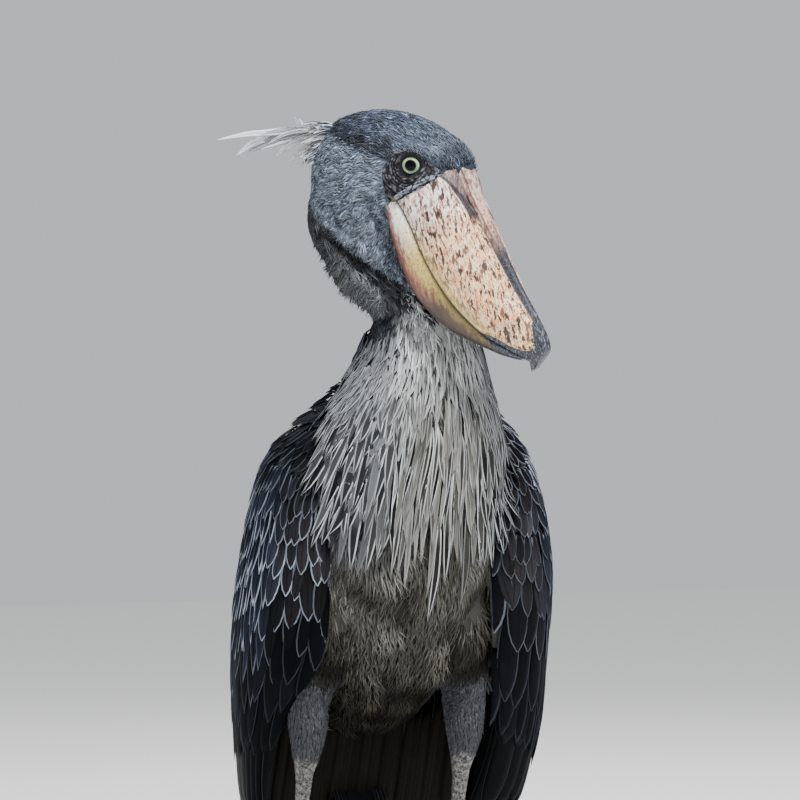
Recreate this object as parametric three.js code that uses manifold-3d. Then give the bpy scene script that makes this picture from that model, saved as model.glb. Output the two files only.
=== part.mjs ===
// A shoebill standing at rest, life size, as a still display model.
// Millimetres, +Z up. The bird faces -Y and its left side is +X. The floor is z = 0.
import * as THREE from "three";
import { mergeVertices } from "three/addons/utils/BufferGeometryUtils.js";
import Module from "manifold-3d";

const wasm = await Module();
wasm.setup();

// Driving dimensions.
const BILL_LENGTH = 240; // gape to hook tip
const GAP = 0.3; // left between touching pieces
const MIDDLE = { x: 0, f: -31 }; // middle of the bounding box, put over the origin
const HEAD_AT = { x: -22, f: 68, z: 945 }; // middle of the head
const HEAD_TURN = 44; // degrees to the bird's left
const HEAD_DROP = 53.7; // degrees that the bill points down
const EYE = { F: 8, U: 63, L: 37, radius: 13, around: 12, high: 9 };
const LEG = { x: 88, footF: 6 }; // half the stance's width, and how far forward the feet stand
const TRUNK_RINGS = { steps: 11, sides: 24 };
const NECK = { low: 0.65, high: 0.854, sides: 18 }; // ends as shares of the run from vent to head
const TAIL = { root: { x: 0, f: -140, z: 378 }, length: 235, slope: 55, feathers: 12, fan: 9 };
const VANE = 1.4; // thickness of a feather's vane near its root
const CLEAR = 2.2; // a vane's height over the skin where it has come out of it

const { sin, cos, PI, abs, min, max, pow } = Math;
const radians = THREE.MathUtils.degToRad;
const clamp = THREE.MathUtils.clamp;
const lerp = THREE.MathUtils.lerp;

// A point from sideways (left), forward and up.
const at = (x, f, z) => new THREE.Vector3(x, -f, z);
// The same pseudo-random draw at every build.
const draw = (seed) => {
  const wave = sin(seed * 127.1 + 11.7) * 43758.5453;
  return wave - Math.floor(wave);
};
const jitter = (seed, size) => (draw(seed) * 2 - 1) * size;

// A smooth run through numbers spaced evenly in t, from 0 to 1.
function through(values, t) {
  const last = values.length - 1;
  const place = clamp(t, 0, 1) * last;
  const i = min(Math.floor(place), last - 1);
  const u = place - i;
  const before = values[max(i - 1, 0)];
  const after = values[min(i + 2, last)];
  const p = values[i];
  const q = values[i + 1];
  const bend = 2 * before - 5 * p + 4 * q - after;
  return 0.5 * (2 * p + (q - before) * u + bend * u * u + (3 * p - before - 3 * q + after) * u ** 3);
}

// A smooth run through [place, value] pairs.
function profile(pairs, place) {
  if (place <= pairs[0][0]) return pairs[0][1];
  const end = pairs.length - 1;
  if (place >= pairs[end][0]) return pairs[end][1];
  let i = 0;
  while (pairs[i + 1][0] < place) i++;
  const slope = (k) => {
    const lo = pairs[max(k - 1, 0)];
    const hi = pairs[min(k + 1, end)];
    return (hi[1] - lo[1]) / (hi[0] - lo[0]);
  };
  const [x0, y0] = pairs[i];
  const [x1, y1] = pairs[i + 1];
  const h = x1 - x0;
  const t = (place - x0) / h;
  const rise = t * t * (3 - 2 * t);
  return y0 + (y1 - y0) * rise + h * (t * (1 - t) ** 2 * slope(i) - t * t * (1 - t) * slope(i + 1));
}

// A closed mesh becomes a solid that faces out.
function solidFrom(points, triangles) {
  const geometry = new THREE.BufferGeometry().setFromPoints(points);
  geometry.setIndex(triangles);
  return solid(geometry);
}
function solid(geometry) {
  const bare = geometry.clone();
  bare.deleteAttribute("normal");
  bare.deleteAttribute("uv");
  const merged = mergeVertices(bare, 1e-4);
  const corners = merged.index.array;
  const triVerts = [];
  for (let i = 0; i < corners.length; i += 3) {
    const [a, b, c] = [corners[i], corners[i + 1], corners[i + 2]];
    if (a !== b && b !== c && a !== c) triVerts.push(a, b, c);
  }
  const make = (order) =>
    new wasm.Manifold(
      new wasm.Mesh({
        numProp: 3,
        vertProperties: merged.attributes.position.array,
        triVerts: new Uint32Array(order),
      }),
    );
  const made = make(triVerts);
  if (made.volume() >= 0) return made;
  return make(triVerts.slice().reverse());
}

// Rings of equal count, joined in order and closed at both ends, flat unless poles are given.
function loft(rings, poles = []) {
  const count = rings[0].length;
  const points = rings.flat();
  const triangles = [];
  for (let i = 0; i < rings.length - 1; i++)
    for (let j = 0; j < count; j++) {
      const a = i * count + j;
      const b = i * count + ((j + 1) % count);
      triangles.push(a, b, b + count, a, b + count, a + count);
    }
  for (const [ring, flip] of [[0, true], [rings.length - 1, false]]) {
    const hub = points.length;
    const middle = new THREE.Vector3();
    rings[ring].forEach((p) => middle.addScaledVector(p, 1 / count));
    points.push(poles[flip ? 0 : 1] || middle);
    for (let j = 0; j < count; j++) {
      const a = ring * count + j;
      const b = ring * count + ((j + 1) % count);
      triangles.push(...(flip ? [b, a, hub] : [a, b, hub]));
    }
  }
  return solidFrom(points, triangles);
}

// Two grids of points, split into triangles alike, closed along their borders.
function slab(top, under) {
  const rows = top.length;
  const columns = top[0].length;
  const points = [...top.flat(), ...under.flat()];
  const below = rows * columns;
  const triangles = [];
  for (let i = 0; i < rows - 1; i++)
    for (let j = 0; j < columns - 1; j++) {
      const a = i * columns + j;
      const b = a + 1;
      const c = a + columns;
      const d = c + 1;
      triangles.push(a, b, d, a, d, c);
      triangles.push(a + below, d + below, b + below, a + below, c + below, d + below);
    }
  const border = [];
  for (let j = 0; j < columns - 1; j++) border.push(j);
  for (let i = 0; i < rows - 1; i++) border.push(i * columns + columns - 1);
  for (let j = columns - 1; j > 0; j--) border.push((rows - 1) * columns + j);
  for (let i = rows - 1; i > 0; i--) border.push(i * columns);
  border.forEach((a, k) => {
    const b = border[(k + 1) % border.length];
    triangles.push(a, b + below, b, a, a + below, b + below);
  });
  return solidFrom(points, triangles);
}

const join = (solids) => wasm.Manifold.union(solids);
const largest = (made) => made.decompose().reduce((a, b) => (a.volume() > b.volume() ? a : b));

function ball(centre, radius) {
  const geometry = new THREE.SphereGeometry(radius, EYE.around, EYE.high);
  return solid(geometry.translate(centre.x, centre.y, centre.z));
}

// The trunk and neck are one run of rings from the vent up into the head.
// Each station: sideways, forward, up, half width, half depth.
const TRUNK = [
  [0, -158, 350, 26, 20],
  [0, -128, 380, 60, 48],
  [0, -92, 422, 88, 80],
  [0, -54, 472, 108, 104],
  [0, -15, 530, 118, 120],
  [2, 22, 590, 120, 120],
  [5, 46, 645, 112, 103],
  [14, 57, 695, 100, 84],
  [19, 60, 738, 82, 70],
  [22, 59, 782, 65, 60],
  [21, 46, 826, 53, 46],
  [5, 35, 862, 55, 42],
  [-16, 38, 890, 54, 44],
  [-38, 48, 914, 50, 50],
];
const trunkValue = (k, t) => through(TRUNK.map((s) => s[k]), t);
const trunkMiddle = (t) => at(trunkValue(0, t), trunkValue(1, t), trunkValue(2, t));
function trunkFrame(t) {
  const step = 0.01;
  const along = trunkMiddle(min(t + step, 1)).sub(trunkMiddle(max(t - step, 0))).normalize();
  const side = new THREE.Vector3(1, 0, 0).addScaledVector(along, -along.x).normalize();
  const front = new THREE.Vector3().crossVectors(side, along).normalize();
  return { along, side, front };
}
// A point of the trunk's skin: t runs from vent to head, turn from the left side (0) over the
// front (90 degrees) to the right side.
function trunkSkin(t, turn, lift = 0) {
  const { side, front } = trunkFrame(t);
  const wide = trunkValue(3, t) + lift;
  const deep = trunkValue(4, t) + lift;
  const angle = radians(turn);
  return trunkMiddle(t).addScaledVector(side, wide * cos(angle)).addScaledVector(front, deep * sin(angle));
}
function trunkTube(from, to, steps, sides, grow = 0) {
  const rings = [];
  for (let i = 0; i <= steps; i++) {
    const t = lerp(from, to, i / steps);
    const ring = [];
    for (let j = 0; j < sides; j++) ring.push(trunkSkin(t, (j * 360) / sides, grow));
    rings.push(ring);
  }
  return loft(rings);
}

// A thin tapered vane that follows a skin. skin(p, q, lift) gives the skin's points, p along the
// lie of the feathers and q across it. The root is sunk, and the tip stands off by rise.
const LEAF = [[0, 0.5], [0.3, 0.85], [0.6, 1], [0.85, 0.7], [1, 0.12]];
const QUILL = [[0, 0.6], [0.3, 0.95], [0.8, 1], [0.93, 0.75], [1, 0.25]];
function vane(skin, { p, q, length, half, rise, sink = 5, shape = LEAF, rows = 4, tilt = 0, bend = 0 }) {
  const top = [];
  const under = [];
  for (let i = 0; i < rows; i++) {
    const t = i / (rows - 1);
    const out = (i - 1) / (rows - 2);
    const lift = i === 0 ? -sink : lerp(min(CLEAR, rise), rise, out);
    const thick = VANE * (1 - 0.4 * t);
    const upper = [];
    const lower = [];
    for (const edge of [-1, 1]) {
      const across = q + bend * t * t + edge * half * profile(shape, t);
      upper.push(skin(p + length * t, across, lift + edge * tilt));
      lower.push(skin(p + length * t, across, lift + edge * tilt - thick));
    }
    top.push(upper);
    under.push(lower);
  }
  return slab(top, under);
}

// Long breast plumes, in rows from the lower neck down, with their tips over the belly.
const PLUMES = { rows: 5, first: 0.612, step: 0.033, count: 7, length: 0.1, rise: 8, wide: 78, low: 54 };
function breastPlumes() {
  const plumes = [];
  for (let row = 0; row < PLUMES.rows; row++) {
    const open = lerp(PLUMES.wide, PLUMES.low, row / (PLUMES.rows - 1));
    for (let i = 0; i < PLUMES.count; i++) {
      const seed = 300 + row * 20 + i;
      const share = (i + (row % 2 ? 0.25 : 0.75)) / PLUMES.count;
      plumes.push(
        vane(trunkSkin, {
          p: PLUMES.first - row * PLUMES.step + jitter(seed, 0.006),
          q: 90 + lerp(-open, open, share) + jitter(seed + 1, 1),
          length: -PLUMES.length * (1 + jitter(seed + 2, 0.12)),
          half: open / PLUMES.count,
          rise: PLUMES.rise + jitter(seed + 3, 0.7),
          bend: jitter(seed + 4, 2),
          tilt: 0.4,
        }),
      );
    }
  }
  return plumes;
}

// The head has its own axes: F along the bill, U up from it, L to the bird's left.
const headTurn = radians(HEAD_TURN);
const headDrop = radians(HEAD_DROP);
const billWay = at(cos(headDrop) * sin(headTurn), cos(headDrop) * cos(headTurn), -sin(headDrop));
const crownWay = at(sin(headDrop) * sin(headTurn), sin(headDrop) * cos(headTurn), cos(headDrop));
const leftWay = at(cos(headTurn), -sin(headTurn), 0);
const headMiddle = at(HEAD_AT.x, HEAD_AT.f, HEAD_AT.z);
function onHead(F, U, L) {
  const p = headMiddle.clone().addScaledVector(billWay, F);
  return p.addScaledVector(crownWay, U).addScaledVector(leftWay, L);
}

// The head's outline from the side, as [angle, radius] round its middle, 0 degrees forward.
const HEAD_OUTLINE = [
  [-180, 87],
  [-150, 85],
  [-125, 82],
  [-100, 95],
  [-80, 103],
  [-60, 92],
  [-35, 62],
  [0, 46],
  [35, 66],
  [60, 110],
  [72, 113],
  [85, 103],
  [100, 94],
  [120, 86],
  [150, 83],
  [180, 87],
];
const HEAD_CORE = { F: -10, U: 2 };
const SKULL = { around: 24, across: 10 };
// Half width of the head: full at the cheeks, slimmer at the crown and the throat.
function headWidth(F, U) {
  const crown = clamp((U - 40) / 70, 0, 1);
  const throat = clamp((-U - 30) / 80, 0, 1);
  const rear = clamp((-F - 40) / 70, 0, 1);
  return 53 - 8 * crown * crown - 8 * throat - 7 * rear;
}
function headSkin(angle, latitude, grow = 0) {
  const reach = (profile(HEAD_OUTLINE, angle) + grow) * cos(latitude);
  const F = HEAD_CORE.F + reach * cos(radians(angle));
  const U = HEAD_CORE.U + reach * sin(radians(angle));
  const L = (headWidth(F, U) + grow) * sin(latitude);
  return [F, U, L];
}
function skull() {
  const rings = [];
  for (let i = 1; i < SKULL.across; i++) {
    const latitude = (i / SKULL.across - 0.5) * PI;
    const ring = [];
    for (let j = 0; j < SKULL.around; j++)
      ring.push(onHead(...headSkin((j / SKULL.around) * 360 - 180, latitude)));
    rings.push(ring);
  }
  return loft(rings, [onHead(...headSkin(0, -PI / 2)), onHead(...headSkin(0, PI / 2))]);
}

// The bill's outlines, each as [F, value].
const CULMEN = [
  [0, 104], [35, 102], [60, 96], [116, 87], [169, 79], [218, 73], [240, 67], [252, 56], [259, 38],
];
const MOUTH = [[0, 29], [19, 28], [54, 26], [101, 18], [149, 15], [192, 20], [223, 32], [245, 40], [259, 33]];
const CHIN = [[0, 12], [30, 6], [55, -4], [111, -18], [161, -13], [215, 15], [232, 28], [240, 36]];
const BILL_WIDTH = [
  [0, 44], [60, 48], [110, 48], [150, 43], [185, 34], [215, 24], [238, 14], [250, 9], [259, 2.4],
];
const RIDGE_WIDTH = [[0, 13], [60, 12], [140, 9], [220, 7], [259, 2]];
const UPPER_END = BILL_LENGTH + 18;
const LOWER_END = BILL_LENGTH - 3;

// The face: where the bill's two halves begin. The upper one's base slopes, with its top further
// forward than the corners of the mouth.
const FACE = { upperF: 22, lowerF: 34, slope: 0.2, above: 35, fades: 50 };
function baseSlope(F, U) {
  return FACE.slope * max(U - FACE.above, 0) * clamp(1 - (F - FACE.upperF) / FACE.fades, 0, 1);
}
function upperRing(F, grow = 0) {
  const wide = profile(BILL_WIDTH, F) + grow;
  const ridge = min(profile(RIDGE_WIDTH, F), wide * 0.8);
  const low = profile(MOUTH, F) + GAP / 2;
  const high = profile(CULMEN, F) + grow;
  const tall = high - low;
  const groove = ridge + 2.5;
  const half = [
    [ridge * 0.5, 1],
    [ridge, 0.965],
    [groove, 0.91],
    [groove + 0.15 * (wide - groove), 0.915],
    [lerp(groove, wide, 0.55), 0.82],
    [lerp(groove, wide, 0.86), 0.6],
    [wide, 0.34],
    [wide, 0.12],
    [wide * 0.95, 0],
  ];
  const left = half.map(([L, rise]) => [L, low + rise * tall - (rise === 0 ? grow : 0)]);
  const right = left.map(([L, U]) => [-L, U]).reverse();
  return [...left, ...right].map(([L, U]) => onHead(F + baseSlope(F, U), U, L));
}
function lowerRing(F, grow = 0) {
  const wide = profile(BILL_WIDTH, F) * 0.93 + grow;
  const high = profile(MOUTH, F) - GAP / 2 + grow;
  const low = profile(CHIN, F) - grow;
  const tall = max(high - low, 1.2);
  const half = [
    [wide * 0.98, 0],
    [wide, -0.22],
    [wide * 0.88, -0.62],
    [wide * 0.55, -0.93],
    [wide * 0.18, -1],
  ];
  const left = half.map(([L, rise]) => [L, high + rise * tall]);
  const right = left.map(([L, U]) => [-L, U]).reverse();
  return [...left, ...right].map(([L, U]) => onHead(F, U, L));
}
function billPart(ringAt, from, to, steps, grow = 0) {
  const rings = [];
  for (let i = 0; i <= steps; i++) {
    const t = i / steps;
    rings.push(ringAt(lerp(from, to, 1 - pow(1 - t, 1.25)), grow));
  }
  return loft(rings);
}

// A slit each side of the ridge, near the bill's base.
const NOSTRIL = { F: 62, L: 14, length: 17, wide: 2.6, deep: 6 };
function nostril(side) {
  const slit = new THREE.BoxGeometry(NOSTRIL.length, NOSTRIL.wide, NOSTRIL.deep);
  slit.applyMatrix4(new THREE.Matrix4().makeBasis(billWay, leftWay, crownWay));
  const place = onHead(NOSTRIL.F, profile(CULMEN, NOSTRIL.F) - 6, NOSTRIL.L * side);
  slit.translate(place.x, place.y, place.z);
  return solid(slit);
}
const upperBill = billPart(upperRing, FACE.upperF, UPPER_END, 15).subtract(nostril(1)).subtract(nostril(-1));
const lowerBill = billPart(lowerRing, FACE.lowerF, LOWER_END, 12);
const upperSocket = billPart(upperRing, FACE.upperF - GAP, UPPER_END + GAP, 15, GAP);
const lowerSocket = billPart(lowerRing, FACE.lowerF - GAP, LOWER_END + GAP, 12, GAP);

// The crest: loose feathers from the back of the crown, each with its own way up, sideways and roll.
const CREST = { root: { F: -89, U: -14 }, length: 146, half: 3.4, droop: 0.0006 };
const CREST_FEATHERS = [
  { up: 6, side: 8, size: 1, roll: 50 },
  { up: 3, side: -6, size: 0.9, roll: 120 },
  { up: -2, side: 4, size: 0.82, roll: 60 },
  { up: -7, side: -10, size: 0.78, roll: 100 },
  { up: -12, side: 9, size: 0.7, roll: 70 },
  { up: -22, side: -3, size: 0.5, roll: 110 },
  { up: -38, side: 6, size: 0.4, roll: 60 },
  { up: 18, side: -4, size: 0.32, roll: 80 },
  { up: 11, side: 3, size: 0.4, roll: 110 },
];
function crestFeather({ up, side, size, roll }) {
  const sky = at(0, 0, 1);
  const back = at(-sin(headTurn), -cos(headTurn), 0);
  const way = back.multiplyScalar(cos(radians(side))).addScaledVector(leftWay, sin(radians(side)));
  const wideWay = leftWay.clone().multiplyScalar(cos(radians(roll))).addScaledVector(sky, sin(radians(roll)));
  const thinWay = new THREE.Vector3().crossVectors(way, wideWay).normalize();
  const root = onHead(CREST.root.F, CREST.root.U, side * 0.6).addScaledVector(sky, up * 0.25);
  const rib = (p, q, lift) => {
    const high = p * Math.tan(radians(up)) - p * p * CREST.droop;
    const place = root.clone().addScaledVector(way, p).addScaledVector(sky, high);
    return place.addScaledVector(wideWay, q).addScaledVector(thinWay, lift);
  };
  return vane(rib, { p: 0, q: 0, length: CREST.length * size, half: CREST.half, rise: 0, sink: 0 });
}

function eyeMiddle(side) {
  return onHead(EYE.F, EYE.U, EYE.L * side);
}
// The lids are one raised rim round the eye, turned the way the eye looks.
const EYE_LOOK = { F: 0.28, U: 0.2, L: 0.94 };
const LIDS = { radius: 11.6, thick: 2.6, out: 8, stretch: 1.12, section: 5, around: 12 };
function eyeWay(side) {
  const way = billWay.clone().multiplyScalar(EYE_LOOK.F);
  way.addScaledVector(crownWay, EYE_LOOK.U).addScaledVector(leftWay, EYE_LOOK.L * side);
  return way.normalize();
}
function lids(side) {
  const rim = new THREE.TorusGeometry(LIDS.radius, LIDS.thick, LIDS.section, LIDS.around);
  rim.scale(LIDS.stretch, 1, 1);
  const turn = new THREE.Quaternion().setFromUnitVectors(at(0, 0, 1), eyeWay(side));
  rim.applyQuaternion(turn);
  const place = eyeMiddle(side).addScaledVector(eyeWay(side), LIDS.out);
  rim.translate(place.x, place.y, place.z);
  return solid(rim);
}

// A thin plate across the body, to part it with.
const PLATE_WIDTH = 400;
function cutAcross(t) {
  const { along } = trunkFrame(t);
  const plate = new THREE.BoxGeometry(PLATE_WIDTH, PLATE_WIDTH, GAP);
  plate.applyQuaternion(new THREE.Quaternion().setFromUnitVectors(at(0, 0, 1), along));
  const middle = trunkMiddle(t);
  plate.translate(middle.x, middle.y, middle.z);
  return solid(plate);
}

// The folded wing is a curved shell round the side of the trunk. Each station, from the shoulder to
// the tip, has its belly edge, its outermost line and its back edge, as sideways, forward and up.
const WING = [
  { belly: [66, 66, 706], outer: [76, 14, 736], back: [44, -18, 748] },
  { belly: [88, 80, 640], outer: [130, 8, 668], back: [46, -80, 686] },
  { belly: [86, 84, 550], outer: [156, 2, 565], back: [42, -134, 592] },
  { belly: [78, 58, 455], outer: [155, -18, 455], back: [38, -174, 500] },
  { belly: [94, -26, 355], outer: [143, -66, 345], back: [38, -210, 405] },
  { belly: [86, -112, 255], outer: [114, -150, 240], back: [48, -242, 298] },
  { belly: [60, -222, 160], outer: [68, -240, 158], back: [56, -266, 182] },
];
// How much further out each wing hangs: the left one out, more so lower down, the right one in.
const WING_HANGS = {
  left: { belly: [0, 4, 6, 24, 30, 30, 12], outer: [14, 18, 22, 25, 40, 58, 24] },
  right: { belly: [-8, -2, 0, 0, 0, 0, 0], outer: [-32, -10, -9, -4, -8, -8, -6] },
};
const WING_THICK = [30, 46, 40, 24, 12, 8, 5];
const WING_TURN = 0.4; // share of the width between the belly edge and the outermost line
const WING_CORE = { until: 0.56, rows: 7, columns: 8 }; // past it, only flight feathers reach

// Tiers of feathers from the tip up to the shoulder, each lying over the roots of the one before.
// The first two are the flight feathers.
const TIERS = [
  { from: 0.53, length: 0.45, count: 7, rise: 0, rows: 5, shape: QUILL },
  { from: 0.42, length: 0.28, count: 6, rise: 6, shape: QUILL },
  { from: 0.31, length: 0.22, count: 6, rise: 7 },
  { from: 0.21, length: 0.19, count: 6, rise: 7 },
  { from: 0.11, length: 0.18, count: 5, rise: 7 },
  { from: 0.01, length: 0.17, count: 4, rise: 7 },
];
const SCAPULARS = { count: 3, from: 0.05, length: 0.24, half: 0.05, rise: 13, v: [0.62, 0.95] };

function wingEdge(name, which, s) {
  const hang = WING_HANGS[name];
  const extra = hang && hang[which] ? through(hang[which], s) : 0;
  const [x, f, z] = [0, 1, 2].map((k) => through(WING.map((station) => station[which][k]), s));
  return [x + extra, f, z];
}
// A point of the wing's outer side: s from shoulder to tip, v from belly edge to back edge.
function wingPoint(name, s, v) {
  const side = name === "left" ? 1 : -1;
  const outer = wingEdge(name, "outer", s);
  const front = v < WING_TURN;
  const edge = wingEdge(name, front ? "belly" : "back", s);
  const angle = ((front ? v / WING_TURN : (1 - v) / (1 - WING_TURN)) * PI) / 2;
  const x = lerp(edge[0], outer[0], sin(angle));
  const f = lerp(edge[1], outer[1], 1 - cos(angle));
  const z = lerp(edge[2], outer[2], sin(angle) * sin(angle));
  return at(side * x, f, z);
}
function wingNormal(name, s, v) {
  const step = 0.01;
  const along = wingPoint(name, min(s + step, 1), v).sub(wingPoint(name, max(s - step, 0), v));
  const across = wingPoint(name, s, min(v + step, 1)).sub(wingPoint(name, s, max(v - step, 0)));
  const normal = new THREE.Vector3().crossVectors(along, across).normalize();
  return name === "left" ? normal : normal.negate();
}
function wingSkin(name, s, v, lift) {
  return wingPoint(name, s, v).addScaledVector(wingNormal(name, s, v), lift);
}
function wingShell(name) {
  const { until, rows, columns } = WING_CORE;
  const top = [];
  const under = [];
  for (let i = 0; i <= rows; i++) {
    const s = (i / rows) * until;
    const upper = [];
    const lower = [];
    for (let j = 0; j <= columns; j++) {
      const v = j / columns;
      const thick = through(WING_THICK, s) * (0.3 + 0.7 * sin(PI * v));
      upper.push(wingSkin(name, s, v, 0));
      lower.push(wingSkin(name, s, v, -thick));
    }
    top.push(upper);
    under.push(lower);
  }
  return slab(top, under);
}

function wingFeathers(name) {
  const skin = (p, q, lift) => wingSkin(name, clamp(p, 0, 1), clamp(q, 0, 1), lift);
  const vanes = [];
  TIERS.forEach((tier, k) => {
    const spacing = 0.9 / tier.count;
    for (let i = 0; i < tier.count; i++) {
      const seed = k * 20 + i + (name === "left" ? 0 : 500);
      const q = 0.05 + (i + 0.5 + (k % 2 ? 0.2 : -0.2)) * spacing + jitter(seed, 0.006);
      const shorter = tier.shape ? 1 - 0.25 * q : 1 + jitter(seed + 7, 0.08);
      vanes.push(
        vane(skin, {
          ...tier,
          p: tier.from + jitter(seed + 3, 0.008),
          q,
          length: tier.length * shorter,
          half: spacing * (tier.shape ? 0.57 : 0.52),
          tilt: 2,
        }),
      );
    }
  });
  for (let i = 0; i < SCAPULARS.count; i++) {
    const share = i / (SCAPULARS.count - 1);
    vanes.push(
      vane(skin, {
        p: SCAPULARS.from + jitter(i + 900, 0.01),
        q: lerp(...SCAPULARS.v, share),
        length: SCAPULARS.length * (1 + jitter(i + 910, 0.12)),
        half: SCAPULARS.half,
        rise: SCAPULARS.rise,
        sink: 6,
        tilt: 1.2,
      }),
    );
  }
  return vanes;
}

// The tail hangs down and back from the rump.
const tailWay = at(0, -cos(radians(TAIL.slope)), -sin(radians(TAIL.slope)));
const tailUp = at(0, -sin(radians(TAIL.slope)), cos(radians(TAIL.slope)));
const tailRoot = at(TAIL.root.x, TAIL.root.f, TAIL.root.z);
function onTail(along, across, lift) {
  return tailRoot.clone().addScaledVector(tailWay, along).add(at(across, 0, 0)).addScaledVector(tailUp, lift);
}
// Stations of the tail's flesh: share of the length, half width, half depth.
const TAIL_CORE = [
  [-0.3, 40, 22],
  [0, 42, 26],
  [0.2, 36, 18],
  [0.45, 22, 5],
];
const TAIL_SIDES = 16;
function tailCore() {
  const rings = TAIL_CORE.map(([share, wide, thick]) => {
    const ring = [];
    for (let j = 0; j < TAIL_SIDES; j++) {
      const angle = (j / TAIL_SIDES) * 2 * PI;
      ring.push(onTail(share * TAIL.length, wide * cos(angle), thick * sin(angle)));
    }
    return ring;
  });
  return loft(rings);
}

// Twelve feathers in a closed fan, and coverts over and under their roots.
const FAN = { from: 0.2, length: 0.8, half: 9, spread: 16, droop: 5, tilt: -1.6 };
const COVERTS = { above: 3, below: 2, from: 0.1, length: 0.48, half: 15, spread: 20, turn: 6 };
const COVERED = { high: 16, low: 4, until: 0.6 }; // how far the coverts lie off the middle of the tail
function onFan(turn, offset) {
  const angle = radians(turn);
  return (p, q, lift) =>
    onTail(p * cos(angle) - q * sin(angle), offset + p * sin(angle) + q * cos(angle), lift);
}
function tailFeathers() {
  const vanes = [];
  for (let i = 0; i < TAIL.feathers; i++) {
    const share = (i / (TAIL.feathers - 1)) * 2 - 1;
    const level = -FAN.droop * abs(share);
    vanes.push(
      vane(onFan(share * TAIL.fan, share * FAN.spread), {
        p: TAIL.length * FAN.from,
        q: 0,
        length: TAIL.length * (FAN.length - 0.05 * abs(share)),
        half: FAN.half,
        rise: level,
        sink: -level,
        shape: QUILL,
        tilt: FAN.tilt * Math.sign(share),
      }),
    );
  }
  for (const [count, under] of [[COVERTS.above, 1], [COVERTS.below, -1]])
    for (let i = 0; i < count; i++) {
      const share = (i / (count - 1)) * 2 - 1;
      const skin = onFan(share * COVERTS.turn, share * COVERTS.spread);
      const flesh = (p) => lerp(COVERED.high, COVERED.low, clamp(p / TAIL.length / COVERED.until, 0, 1));
      vanes.push(
        vane((p, q, lift) => skin(p, q, under * (lift + flesh(p))), {
          p: TAIL.length * COVERTS.from,
          q: 0,
          length: TAIL.length * (COVERTS.length + jitter(i + 40, 0.04)),
          half: COVERTS.half,
          rise: 2,
          sink: 6,
        }),
      );
    }
  return vanes;
}

// Legs: feathered above, bare and scaly from above the ankle down to the foot.
// Each station: up, forward, half width, half depth.
const LIMB_SIDES = 12;
const THIGH = [
  [462, 0, 34, 42],
  [430, 4, 30, 38],
  [405, 6, 25, 31],
  [375, 8, 21, 26],
  [350, 4, 16, 20],
  [332, -2, 12, 14],
  [320, -6, 10.5, 12],
];
const SHANK = [
  [320 - GAP, -6, 9, 10.5],
  [300, -12, 8, 9],
  [278, -18, 9, 10.5],
  [262, -22, 12, 15],
  [246, -22, 12.5, 15],
  [230, -19, 9, 10.5],
  [200, -15, 7.6, 9],
  [120, -4, 7.2, 8.5],
  [60, 4, 7.8, 9],
  [34, 7, 10, 11],
  [14, 6, 14, 14],
  [0, 6, 11, 11],
];
function limb(stations, side) {
  const rings = stations.map(([z, f, wide, deep]) => {
    const ring = [];
    for (let j = 0; j < LIMB_SIDES; j++) {
      const angle = (j / LIMB_SIDES) * 2 * PI;
      ring.push(at(side * LEG.x + wide * cos(angle), f + deep * sin(angle), z));
    }
    return ring;
  });
  return loft(rings);
}
const grown = (stations) => stations.map(([z, f, wide, deep]) => [z, f, wide + GAP, deep + GAP]);

// Toes lie flat, with a pad at each joint: the first points back, then from the inner to the outer.
const TOES = [
  { turn: 176, length: 84, wide: 8, tall: 14, joints: 2 },
  { turn: -30, length: 128, wide: 8, tall: 15, joints: 3 },
  { turn: 2, length: 168, wide: 8.5, tall: 16, joints: 4 },
  { turn: 35, length: 138, wide: 8, tall: 15, joints: 4 },
];
const TOE_START = 9;
const TOE_SPREAD = Math.tan(radians(15)); // keeps each toe's root inside its own share of the foot
const FOOT_TURN = 6;
const CLAW = { length: 26, wide: 4, tall: 8, curl: 1.35 };
function toeFrame(side, turn) {
  const angle = radians(turn + FOOT_TURN);
  return { way: at(side * sin(angle), cos(angle), 0), across: at(cos(angle), -side * sin(angle), 0) };
}
const toeRoot = (side) => at(side * LEG.x, LEG.footF, 0);
function toeRing(side, toe, along, wide, tall, lift = 0) {
  const { way, across } = toeFrame(side, toe.turn);
  const half = [1, 0.72, 0];
  const rise = [0.4, 0.86, 1];
  const shape = half.map((h, i) => [h * wide, lift + rise[i] * tall]);
  const mirrored = shape.slice(0, 2).reverse().map(([h, z]) => [-h, z]);
  const outline = [[wide * 0.7, lift], ...shape, ...mirrored, [-wide * 0.7, lift]];
  return outline.map(([h, z]) => {
    const p = toeRoot(side).addScaledVector(way, along).addScaledVector(across, h);
    return p.setZ(z);
  });
}
function toeSolid(side, toe) {
  const rings = [];
  const steps = toe.joints * 2 + 2;
  for (let i = 0; i <= steps; i++) {
    const t = i / steps;
    const along = lerp(TOE_START, toe.length, t);
    const bulge = 1 + 0.1 * cos(2 * PI * t * toe.joints);
    const narrow = lerp(1, 0.66, t);
    const wide = min(toe.wide * narrow * bulge, along * TOE_SPREAD - GAP);
    rings.push(toeRing(side, toe, along, wide, toe.tall * narrow * bulge));
  }
  return loft(rings);
}
function clawSolid(side, toe) {
  const rings = [];
  for (let i = 0; i <= 4; i++) {
    const t = i / 4;
    const size = pow(1 - t, 0.75) + 0.05;
    const along = toe.length + GAP + (CLAW.length * sin(t * CLAW.curl)) / sin(CLAW.curl);
    const lift = 0.6 + 2.2 * (1 - t) * (1 - t);
    rings.push(toeRing(side, toe, along, CLAW.wide * size, CLAW.tall * size, lift));
  }
  return loft(rings);
}

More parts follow.
